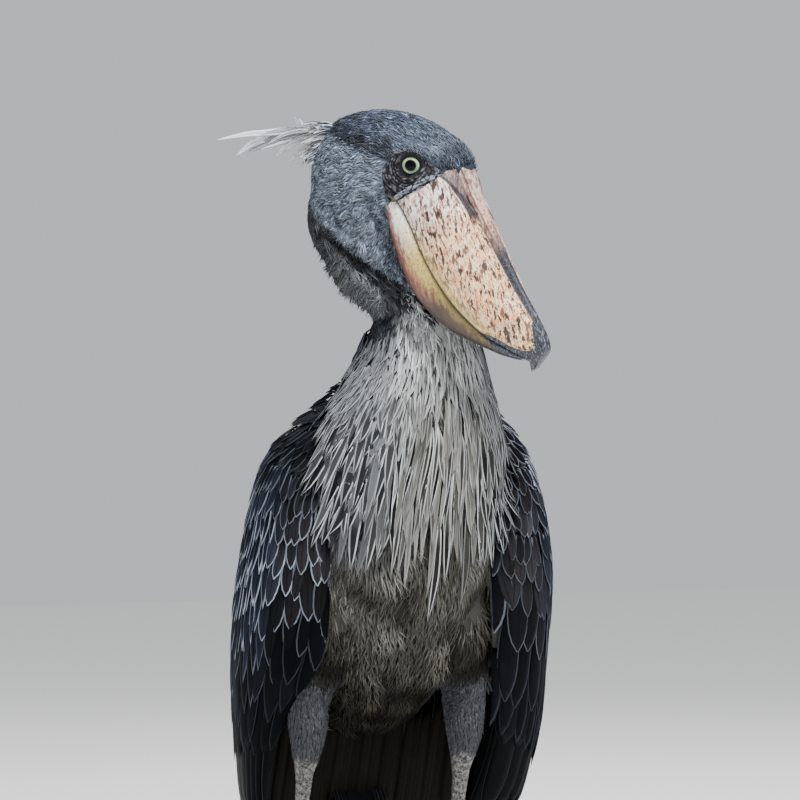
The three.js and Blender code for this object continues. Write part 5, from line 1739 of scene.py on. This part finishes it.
def make_breast_plumes():
    rng = np.random.default_rng(51)
    coat = Coat()
    for k, t0 in enumerate(linspace(0.485, 0.7, 12)):
        low = smooth(0.71 - t0, 0, 0.18)
        long_ = 26 + (millimetres("plume") - 26) * low
        half = 1.4 + 3.8 * low
        spread = interp(t0, [0.5, 0.56, 0.62, 0.75], [72, 92, 104, 112])
        radius = interp(t0, [0.5, 0.75], [104, 66])
        # Millimetres of the middle line for a whole step of t.
        scale = interp(t0, [0.5, 0.62, 0.75], [1000, 800, 680])
        n = int(2 * math.radians(spread) * radius / (half * 1.7))
        share = (arange(n) + 0.5 * (k % 2) + rng.uniform(-0.35, 0.35, n)) / n
        turn = 90 - spread + 2 * spread * share
        turn = 90 + (turn - 90) * np.where(turn < 90, 0.84, 0.87)
        aside = np.abs(turn - 90) / 90
        p = t0 + rng.normal(0, 0.011, n)
        length = -long_ / scale * (0.72 + 0.5 * rng.random(n)) * (1 - 0.12 * aside)
        wide = half * (0.8 + 0.45 * rng.random(n)) * (0.55 + 0.55 * smooth(aside, 0.12, 0.5))
        bend = (turn - 90) * 0.06 + rng.normal(0, 3, n)
        tint = trunk_marks(p, turn) * (0.5 + 0.75 * rng.random(n))[:, None]
        unwrap = pairs(turn / 372 + 0.1, p)
        marked = rng.random(n) < 0.25 + 0.55 * smooth(np.abs(turn - 86) / 90, 0.12, 0.4)
        trim = np.where(marked, 0.7, 0.08) + 0.3 * rng.random(n)
        trim *= interp(t0, [0.56, 0.64, 0.7], [1, 0.5, 0.12])

        def skin(t, q, lift):
            return over_body(trunk_skin(t, q, lift * 0.4), 0.55 * lift + coat_depth(full(t.shape, t0)) - 1.5)

        add_vanes(coat, skin, p, turn, length, np.degrees(wide / radius), 4 + 3 * low + 2 * rng.random(n),
            tint, unwrap, rng, rows=8, columns=5, shape=LANCE, sink=7, clear=2.2, bend=bend, camber=0.5,
            tilt=rng.normal(0, 0.7, n), thick=0.5, ragged=0.05, patch=0.006, trim=trim)
    finish = feather_finish("breast_plume_finish", edge="plume", edge_share=0.8, shaft="plume_dark",
        shaft_share=0.98, shaft_wide=0.7, edge_wide=1.9, spread=0.7, mottle=0.15, streak=0.8,
        shaft_from=(0.2, 0.42))
    coat.build("breast_plumes", finish, "body_feathers", "torso")


class SHOEBILL_OT_breast_plumes(Piece, bpy.types.Operator):
    """Hangs long pointed plumes over the breast, longer row by row"""

    bl_idname = "shoebill.breast_plumes"
    bl_label = "Breast plumes"

    def execute(self, context):
        make_breast_plumes()
        return {"FINISHED"}


def make_body_feathers():
    rng = np.random.default_rng(61)
    body_belly(rng)
    body_back(rng)


def body_belly(rng):
    t, turn = lattice(trunk_skin, (0, 0.56), (0, 360), (4.7, 3.3), rng)
    roots, out, near = seen_roots(trunk_skin(t, turn, -coat_depth(t)), 5)
    near &= np.cos(radians(turn - 90)) > -0.6
    # The flanks bulge over the tops of the legs; their roots are found from in front.
    x, z = crossed(arange(46, 110, 3.3), arange(385, 560, 4.7))
    x, z = (k + rng.uniform(-1.4, 1.4, x.shape) for k in (x, z))
    for _, side in SIDES:
        hits = MADE["body"].rays(at(side * x, 200, z).reshape(-1, 3), at(0, -1, 0))
        hits = hits[isfinite(hits[:, 0])]
        spot, way, _ = MADE["body"].nearest(hits)
        share = interp(spot[:, 2], TRUNK[:, 2], shares(len(TRUNK)))
        own = np.degrees(arctan2(trunk_middle(share)[:, 1] - spot[:, 1], spot[:, 0]))
        off = np.linalg.norm(spot - trunk_skin(share, own, -coat_depth(share)), axis=-1)
        wide = interp(spot[:, 2], [385, 455, 550], [112, 102, 84])
        pick = (off > 4) & (np.abs(spot[:, 0]) < wide) & (spot[:, 1] < 20)
        t, turn, near = join(t, share), join(turn, own), join(near, pick)
        roots, out = join(roots, spot), join(out, way)
    t, turn, roots, out = t[near], turn[near], roots[near], out[near]
    n = len(t)
    ways = unit(trunk_skin(t - 0.02, turn) - trunk_skin(t, turn)) + 0.5 * at(0, 0, -1)
    lump, whorl = clumps(roots, 16, 7), clumps(roots, 26, 8)
    ways = turned(level(ways, out), out, 9 * whorl + 6 * lump + rng.normal(0, 6, n))
    length = 22 + 14 * rng.random(n)
    streak = clumps(roots * [1, 1, 0.4], 5, 9)
    tint = trunk_marks(t, turn) * exp(0.2 * lump + 0.26 * whorl + 0.16 * streak)[:, None]
    # Painted shade down the middle of the low belly, in the hollow between the flanks that bulge over the
    # legs.
    tint *= 1 - 0.45 * bell(roots[:, 0], -6, 7)[:, None] * smooth(-roots[:, 2], -560, -520)[:, None]
    leg = smooth(np.abs(roots[:, 0]), 50, 60) * smooth(-roots[:, 2], -452, -424)
    tint = mix(tint, shade("thigh") * 0.8, leg)
    stand = (4.5 + 2 * rng.random(n) + 1.4 * lump) * (1 - 0.5 * leg) * (1 - 0.45
        * smooth(np.abs(roots[:, 0]), 52, 72))
    length = length * (1 - 0.45 * leg)
    unwrap = pairs(turn / 372 + 0.01, t * 1.6 + 0.02)
    coat = Coat()
    half = 0.7 + 0.5 * rng.random(n)
    add_tufts(coat, (roots, out, ways, length, half, stand, tint, unwrap), rng, curve=150, twist=0.1, bow=4)
    finish = feather_finish("belly_feather_finish", edge="belly", edge_share=0.1, shaft="belly_low",
        shaft_share=0.25, spread=0.45, mottle=0.3, mottle_size=45, streak=0.4)
    coat.build("belly_feathers", finish, "body_feathers", "torso")


def body_back(rng):
    coat = Coat()
    for k, t0 in enumerate(linspace(0.14, 0.74, 26)):
        spread = interp(t0, [0.14, 0.5, 0.74], [60, 62, 86])
        radius = interp(t0, [0.14, 0.4, 0.74], [85, 118, 66])
        half = interp(t0, [0.14, 0.5, 0.74], [9, 8, 3.4])
        n = int(2 * math.radians(spread) * radius / (half * 1.6))
        share = (arange(n) + 0.5 * (k % 2) + rng.uniform(-0.25, 0.25, n)) / n
        turn = 270 - spread + 2 * spread * share
        p = t0 + rng.normal(0, 0.005, n)
        long_ = interp(t0, [0.14, 0.5, 0.74], [62, 60, 30])
        length = -long_ / 560 * (0.85 + 0.3 * rng.random(n))
        tint = trunk_marks(p, turn) * (0.75 + 0.5 * rng.random(n))[:, None]
        unwrap = pairs((turn - 180) / 200 + 0.05, p * 1.2)
        add_vanes(coat, trunk_skin, p, turn, length, np.degrees(half / radius)
            * (0.85 + 0.3 * rng.random(n)), 1.5 + 2 * rng.random(n), tint, unwrap, rng, rows=6, columns=5,
            shape=ROUND, sink=7, clear=0.5, camber=0.8, tilt=rng.normal(0, 0.7, n), thick=0.6, ragged=0.04,
            patch=0.006)
    finish = feather_finish("back_feather_finish", edge="wing_edge", edge_share=0.4, shaft="wing_dark",
        shaft_share=0.4, shaft_wide=0.14, edge_wide=1, spread=0.35, mottle=0.15, streak=0.25)
    coat.build("back_feathers", finish, "body_feathers", "torso")


class SHOEBILL_OT_body_feathers(Piece, bpy.types.Operator):
    """Covers the belly, flanks and back"""

    bl_idname = "shoebill.body_feathers"
    bl_label = "Body feathers"

    def execute(self, context):
        make_body_feathers()
        return {"FINISHED"}


# Rows of coverts, lowest first: where the tips lie near the belly edge and near the back,
# length, half width, strength of the pale hem, how narrow the outer ones are.
ROWS = {
    "right": [
        (0.60, 0.79, 118, 13, 0.06, 1), (0.55, 0.72, 104, 12, 0.14, 0.8), (0.50, 0.65, 90, 11.5, 0.3, 0.6),
        (0.445, 0.59, 80, 10.5, 0.8, 0.62), (0.39, 0.53, 72, 9.6, 1, 0.6), (0.34, 0.47, 62, 8.6, 1, 0.6),
        (0.295, 0.41, 54, 7.6, 0.8, 0.64), (0.25, 0.35, 48, 6.6, 0.45, 0.7), (0.205, 0.29, 42, 5.6, 0.2, 0.8),
        (0.165, 0.24, 38, 5, 0.12, 0.75), (0.125, 0.19, 34, 4.6, 0.08, 0.9), (0.085, 0.14, 30, 4.6, 0.1, 1),
        (0.05, 0.09, 28, 4.6, 0.12, 1), (0.015, 0.045, 24, 4.6, 0.1, 1),
    ],
    "left": [
        (0.66, 0.80, 112, 11, 0.15, 1), (0.60, 0.73, 112, 13, 0.25, 0.9), (0.50, 0.65, 100, 14, 0.7, 0.7),
        (0.43, 0.57, 70, 10, 0.4, 0.6), (0.375, 0.50, 56, 8.6, 0.55, 0.6), (0.33, 0.44, 48, 8, 0.6, 0.65),
        (0.285, 0.38, 44, 7.6, 0.65, 0.65), (0.24, 0.32, 40, 7.2, 0.7, 0.7), (0.20, 0.27, 36, 6.6, 0.8, 0.75),
        (0.16, 0.22, 34, 6.2, 1, 0.8), (0.12, 0.17, 32, 5.6, 1, 0.9), (0.08, 0.125, 28, 5, 0.9, 1),
        (0.045, 0.08, 26, 4.6, 0.8, 1), (0.015, 0.045, 22, 4.4, 0.6, 1),
    ],
}


def make_wings():
    covert = feather_finish("covert_finish", edge="wing_edge", edge_share=0.9, shaft="wing_dark",
        shaft_share=0.6, shaft_wide=0.1, edge_wide=1.9, spread=0.6, mottle=0.3, mottle_size=40, streak=0.6,
        gloss=0.6, root_shade=0.5)
    flight = feather_finish("flight_feather_finish", edge="wing_edge", edge_share=0.07, shaft="wing_dark",
        shaft_share=0.5, shaft_wide=0.05, edge_wide=1, spread=0.3, mottle=0.15, mottle_size=20, streak=0.3,
        gloss=0.5)
    for index, (name, side) in enumerate(SIDES):
        rng = np.random.default_rng(71 + index)
        wings_flight(name, side, rng, flight)
        wings_coverts(name, side, rng, covert)


def wings_flight(name, side, rng, finish):
    coat = Coat()
    skin = partial(wing_skin, side)
    # Primaries to the tip, secondaries and tertials over them: from, length, count, rise.
    for k, (start, long_, count, rise) in enumerate([(0.5, 0.48, 13, -1.5), (0.44, 0.36, 13, 0.2),
            (0.38, 0.30, 12, 1.6)]):
        spacing = 0.9 / count
        v = 0.05 + (arange(count) + 0.5 + (0.2 if k % 2 else -0.2)) * spacing + rng.normal(0, 0.004, count)
        length = long_ * (1 - 0.25 * v)
        tint = tile(shade("flight"), (count, 1)) * (0.85 + 0.3 * rng.random(count))[:, None]
        unwrap = pairs(v * 0.9 + 0.05, 0.2 + 0.3 * k)
        add_vanes(coat, skin, start + rng.normal(0, 0.004, count), v, length, spacing * 0.72, rise, tint,
            unwrap, rng, rows=16, columns=5, shape=QUILL, sink=3, clear=-2, tilt=1.6, camber=0.8, thick=0.6,
            ragged=0.015, patch=0.05, trim=0.4 + 0.6 * rng.random(count))
    coat.build("flight_feathers_" + name, finish, "wing_feathers", "wing_" + name)


def wings_coverts(name, side, rng, finish):
    coat = Coat()
    skin = partial(wing_skin, side)
    for k, (near, far, long_mm, half_mm, hem, narrow) in enumerate(ROWS[name]):
        middle = max((near + far) / 2 - long_mm / 1440, 0)
        line = wing_point(side, full(40, middle), shares(40))
        around = np.linalg.norm(diff(line, axis=0), axis=-1).sum()
        # Broad feathers along the belly edge, narrow pointed ones over the rest.
        for low, high, half_in, shape in ((0, 0.26, half_mm, LEAF),
                (0.26, 1, half_mm * narrow, LANCE if narrow < 0.9 else LEAF)):
            n = max(int(around * (high - low) / (half_in * 1.6)), 2)
            v = (arange(n) + 0.5 + (0.25 if k % 2 else -0.25) + rng.uniform(-0.15, 0.15, n)) / n
            v = clip(low + (high - low) * v, 0.01, 0.99)
            size_ = 0.85 + 0.3 * rng.random(n)
            tip = near + (far - near) * clip((v - 0.15) / 0.7, -0.3, 1.2) + rng.normal(0, 0.008, n)
            start = maximum(tip - long_mm / 720 * size_, 0)
            length = maximum(tip - start, 20 / 720)
            outer = smooth(v, 0.12, 0.3)
            tint = mix(shade("wing_warm"), shade("wing"), outer)
            lower = smooth(near + 0 * v, 0.36 + 0.12 * outer, 0.52 + 0.08 * outer)
            tint = mix(tint, shade("wing_dark"), lower)
            # Painted shade: coverts near the shoulder darken towards the low wing colour.
            tint = mix(tint, shade("wing_dark"), 0.85 * (1 - smooth(tip, 0.16, 0.28)))
            tint = tint * exp(rng.normal(0, 0.3, n))[:, None]
            trim = hem * (0.5 + 0.5 * rng.random(n)) * (1 - 0.5 * smooth(v, 0.6, 0.8))
            trim = trim * (0.55 if side > 0 else 1)
            unwrap = pairs(v * 0.94 + 0.03, 0.06 + middle * 1.5)
            rise = 2.6 + 1.4 * rng.random(n) + 2 * (1 - smooth(tip, 0.1, 0.3))
            add_vanes(coat, skin, start, v, length, half_in / around * size_, rise, tint, unwrap, rng,
                rows=9, columns=5, shape=shape, sink=3.5, clear=0.6, tilt=rng.normal(0.2, 0.5, n),
                camber=1.2, thick=0.5, ragged=0.02, patch=0.03, bend=rng.normal(0, 0.012, n), trim=trim)
    coat.build("wing_coverts_" + name, finish, "wing_feathers", "wing_" + name)


class SHOEBILL_OT_wings(Piece, bpy.types.Operator):
    """Lays the wing coverts and flight feathers in tiers"""

    bl_idname = "shoebill.wings"
    bl_label = "Wings"

    def execute(self, context):
        make_wings()
        return {"FINISHED"}


def make_tail():
    rng = np.random.default_rng(81)
    coat = Coat()
    for i in range(12):
        share = i / 11 * 2 - 1
        angle = math.radians(share * TAIL["fan"])
        high = -5 * abs(share)

        def skin(p, q, lift, angle=angle, share=share):
            return on_tail(p * math.cos(angle) - q * math.sin(angle),
                share * TAIL["spread"] + p * math.sin(angle) + q * math.cos(angle), lift)

        add_vanes(coat, skin, array([TAIL["length"] * 0.1]), 0, TAIL["length"] * (0.9 - 0.05 * abs(share)),
            10.5, high, shade("tail")[None] * rng.uniform(0.85, 1.15), array([[0.06 + i * 0.08, 0.5]]), rng,
            rows=14, columns=5, shape=QUILL, sink=-high, clear=-99, tilt=-1.8 * np.sign(share), camber=0.7,
            thick=0.7, ragged=0.015, patch=0.05)
    for under in (1, -1):
        for row in range(7):
            count = 7 - row // 2
            share = (arange(count) + 0.5) / count * 2 - 1 + rng.normal(0, 0.03, count)
            start = TAIL["length"] * (0.42 - 0.12 * row)

            def skin(p, q, lift, under=under):
                flesh = interp(p / TAIL["length"], [-0.4, 0, 0.2, 0.6], [20, 24, 17, 3])
                return on_tail(p, q, under * (lift + flesh * np.sqrt(clip(1 - (q / 46) ** 2, 0.05, 1))))

            tint = tile(mix(shade("tail"), shade("belly_low"), 0.5 if under < 0 else 0.15),
                (count, 1)) * (0.8 + 0.4 * rng.random(count))[:, None]
            add_vanes(coat, skin, start + rng.normal(0, 3, count), share * 30,
                TAIL["length"] * 0.34 * (0.85 + 0.3 * rng.random(count)), 8.5, 3, tint,
                pairs(share * 0.4 + 0.5, 0.1 + 0.1 * row), rng, rows=7, columns=3, shape=ROUND, sink=3,
                camber=1, thick=0.6, ragged=0.03, patch=0.02, bend=share * 6)
    for _, side in SIDES:
        for row in range(4):
            x = side * (6 + arange(10) * 10.5) + rng.normal(0, 2, 10)

            def hang(p, q, lift, row=row):
                return at(q, -(34 + 5 * row + 0.42 * p) + lift, 462 - 22 * row - 0.9 * p)

            # Feathers that hang under the body behind the legs, in belly_low darkened further: painted shade.
            add_vanes(coat, hang, rng.normal(0, 4, 10), x, 150 + 14 * rng.random(10), 10, 2,
                tile(shade("belly_low") * 0.4, (10, 1)), pairs(x / 300 + 0.5, 0.75 + 0.05 * row), rng,
                rows=8, columns=3, shape=ROUND, sink=3, camber=1, thick=0.6, ragged=0.03, patch=0.02)
    finish = feather_finish("tail_feather_finish", edge="wing_edge", edge_share=0.05, shaft="plume_dark",
        shaft_share=0.6, shaft_wide=0.07, edge_wide=1, spread=0.3, mottle=0.15, gloss=0.6)
    coat.build("tail_feathers", finish, "tail_feathers", "tail")


class SHOEBILL_OT_tail(Piece, bpy.types.Operator):
    """Fans the tail feathers, with coverts over and under their roots"""

    bl_idname = "shoebill.tail"
    bl_label = "Tail"

    def execute(self, context):
        make_tail()
        return {"FINISHED"}


def make_thigh_feathers():
    finish = feather_finish("thigh_feather_finish", edge="plume", edge_share=0.15, shaft="belly_low",
        shaft_share=0.3, spread=0.6, mottle=0.35, mottle_size=70)
    for index, (name, side) in enumerate(SIDES):
        rng = np.random.default_rng(91 + index)
        share, turn = lattice(lambda p, q: limb_skin(THIGH, side, p, q), (0, 1), (0, 360), (3.2, 2.6), rng)
        roots, out, near = seen_roots(limb_skin(THIGH, side, share, turn, -3.5), 4)
        near &= roots[:, 2] > 356 + rng.normal(0, 4, len(near))
        share, turn, roots, out = share[near], turn[near], roots[near], out[near]
        n = len(share)
        ways = limb_skin(THIGH, side, share + 0.05, turn) - limb_skin(THIGH, side, share, turn)
        ways = np.where(np.linalg.norm(ways, axis=-1, keepdims=True) < 1e-3, at(0, 0, -1), ways)
        length = (9 + 6 * rng.random(n)) * interp(share, [0, 0.8, 1], [1.5, 1, 0.7])
        tint = tile(shade("thigh"), (n, 1)) * (0.85 + 0.3 * rng.random(n))[:, None]
        coat = Coat()
        half, stand = 1.3 + 0.6 * rng.random(n), 1.8 + 1.2 * rng.random(n)
        unwrap = pairs(turn / 372 + 0.01, share * 0.95 + 0.02)
        add_tufts(coat, (roots, out, ways, length, half, stand, tint, unwrap), rng, curve=300, twist=0.2)
        coat.build("thigh_feathers_" + name, finish, "thigh_feathers", "thigh_" + name)


class SHOEBILL_OT_thigh_feathers(Piece, bpy.types.Operator):
    """Covers the thighs down to the bare legs"""

    bl_idname = "shoebill.thigh_feathers"
    bl_label = "Thigh feathers"

    def execute(self, context):
        make_thigh_feathers()
        return {"FINISHED"}


def make_claws():
    paint = Paint("claw_finish", Coat_Weight=0.2, Coat_Roughness=0.2)
    grain = paint.noise(paint.object_place(), 300, 4)
    finish = paint.base(paint.blend(grain * 0.5, ("horn", 0.5), ("leg_gap", 0.5)), 0.35)
    for name, side in SIDES:
        for k, toe in enumerate(TOES):
            t = shares(18)
            scale = (1 - t) ** 0.75 + 0.04
            along = toe[1] - 2 + GAP + (CLAW["length"] + 2) * np.sin(t
                * CLAW["curl"]) / math.sin(CLAW["curl"])
            lift = 0.6 + 2.2 * (1 - t) ** 2
            points, faces = tube(toe_rings(side, toe, along, CLAW["wide"] * scale, CLAW["tall"] * scale,
                lift, 16))
            obj = new_object(f"horn_{name}_{k + 1}", points, faces)
            settled(obj, f"claw_{name}_{k + 1}", slot="claws", finish=finish)


class SHOEBILL_OT_claws(Piece, bpy.types.Operator):
    """Sets a curved claw on each toe"""

    bl_idname = "shoebill.claws"
    bl_label = "Claws"

    def execute(self, context):
        make_claws()
        return {"FINISHED"}


AIM = (0.007, -0.065, 0.728)
AZIMUTH, ELEVATION, DISTANCE, LENS = -18, 2, 6, 254


def make_stage(scene):
    bpy.ops.mesh.primitive_plane_add(size=14, location=(0, 0, 0))
    floor = bpy.context.object
    floor.name = "floor"
    paint = Paint("floor_finish")
    grain = paint.noise(paint.object_place(), 30, 2)
    floor.data.materials.append(paint.base(paint.blend(grain * 0.1, "floor", ("floor", 0.9)), 0.85))
    world = bpy.data.worlds.new("studio")
    world.use_nodes = True
    world.node_tree.nodes["Background"].inputs[0].default_value = (*tone(232, 234, 238), 1)
    world.node_tree.nodes["Background"].inputs[1].default_value = 0.75
    scene.world = world
    for name, place, power, width in (("key", (0.2, -2.2, 4.3), 420, 1.1),
            ("fill", (2.8, -2.4, 1.6), 15, 2.4), ("rim", (1.4, 2.6, 2.8), 90, 1.4)):
        light = bpy.data.lights.new(name, "AREA")
        light.energy = power
        light.size = width
        lamp = bpy.data.objects.new(name, light)
        lamp.location = place
        lamp.rotation_euler = (Vector((0, 0, 0.7)) - Vector(place)).to_track_quat("-Z", "Y").to_euler()
        scene.collection.objects.link(lamp)
    azimuth, elevation = math.radians(AZIMUTH), math.radians(ELEVATION)
    back = Vector((math.sin(azimuth) * math.cos(elevation), -math.cos(azimuth) * math.cos(elevation),
        math.sin(elevation)))
    lens_ = bpy.data.cameras.new("camera")
    lens_.lens = LENS
    lens_.sensor_width = 36
    lens_.clip_end = 50
    camera = bpy.data.objects.new("camera", lens_)
    camera.location = Vector(AIM) + back * DISTANCE
    camera.rotation_euler = (-back).to_track_quat("-Z", "Y").to_euler()
    scene.collection.objects.link(camera)
    scene.camera = camera


class SHOEBILL_OT_stage(Piece, bpy.types.Operator):
    """Sets the floor, the soft studio lights and the camera"""

    bl_idname = "shoebill.stage"
    bl_label = "Stage"

    def execute(self, context):
        make_stage(context.scene)
        return {"FINISHED"}


class SHOEBILL_PT_panel(bpy.types.Panel):
    """Lists the pieces, sizes and colours in the sidebar"""

    bl_idname = "SHOEBILL_PT_panel"
    bl_label = "Shoebill"
    bl_space_type = "VIEW_3D"
    bl_region_type = "UI"
    bl_category = "Shoebill"

    def draw(self, context):
        for piece in PIECES:
            self.layout.operator(piece.bl_idname)
        for group in (context.scene.shoebill_sizes, context.scene.shoebill_colours):
            for key in group.bl_rna.properties.keys():
                if key not in ("rna_type", "name"):
                    self.layout.prop(group, key)


PIECES = (
    SHOEBILL_OT_stage, SHOEBILL_OT_skin, SHOEBILL_OT_bill, SHOEBILL_OT_eyes, SHOEBILL_OT_head_feathers,
    SHOEBILL_OT_crest, SHOEBILL_OT_neck_feathers, SHOEBILL_OT_breast_plumes, SHOEBILL_OT_body_feathers,
    SHOEBILL_OT_wings, SHOEBILL_OT_tail, SHOEBILL_OT_thigh_feathers, SHOEBILL_OT_claws,
)
CLASSES = (ShoebillColours, ShoebillSizes, *PIECES, SHOEBILL_PT_panel)


def register():
    for made in CLASSES:
        bpy.utils.register_class(made)
    bpy.types.Scene.shoebill_colours = bpy.props.PointerProperty(type=ShoebillColours)
    bpy.types.Scene.shoebill_sizes = bpy.props.PointerProperty(type=ShoebillSizes)


def unregister():
    del bpy.types.Scene.shoebill_sizes
    del bpy.types.Scene.shoebill_colours
    for made in reversed(CLASSES):
        bpy.utils.unregister_class(made)


def main():
    register()
    for piece in PIECES:
        group, name = piece.bl_idname.split(".")
        getattr(getattr(bpy.ops, group), name)()


if __name__ == "__main__":
    main()
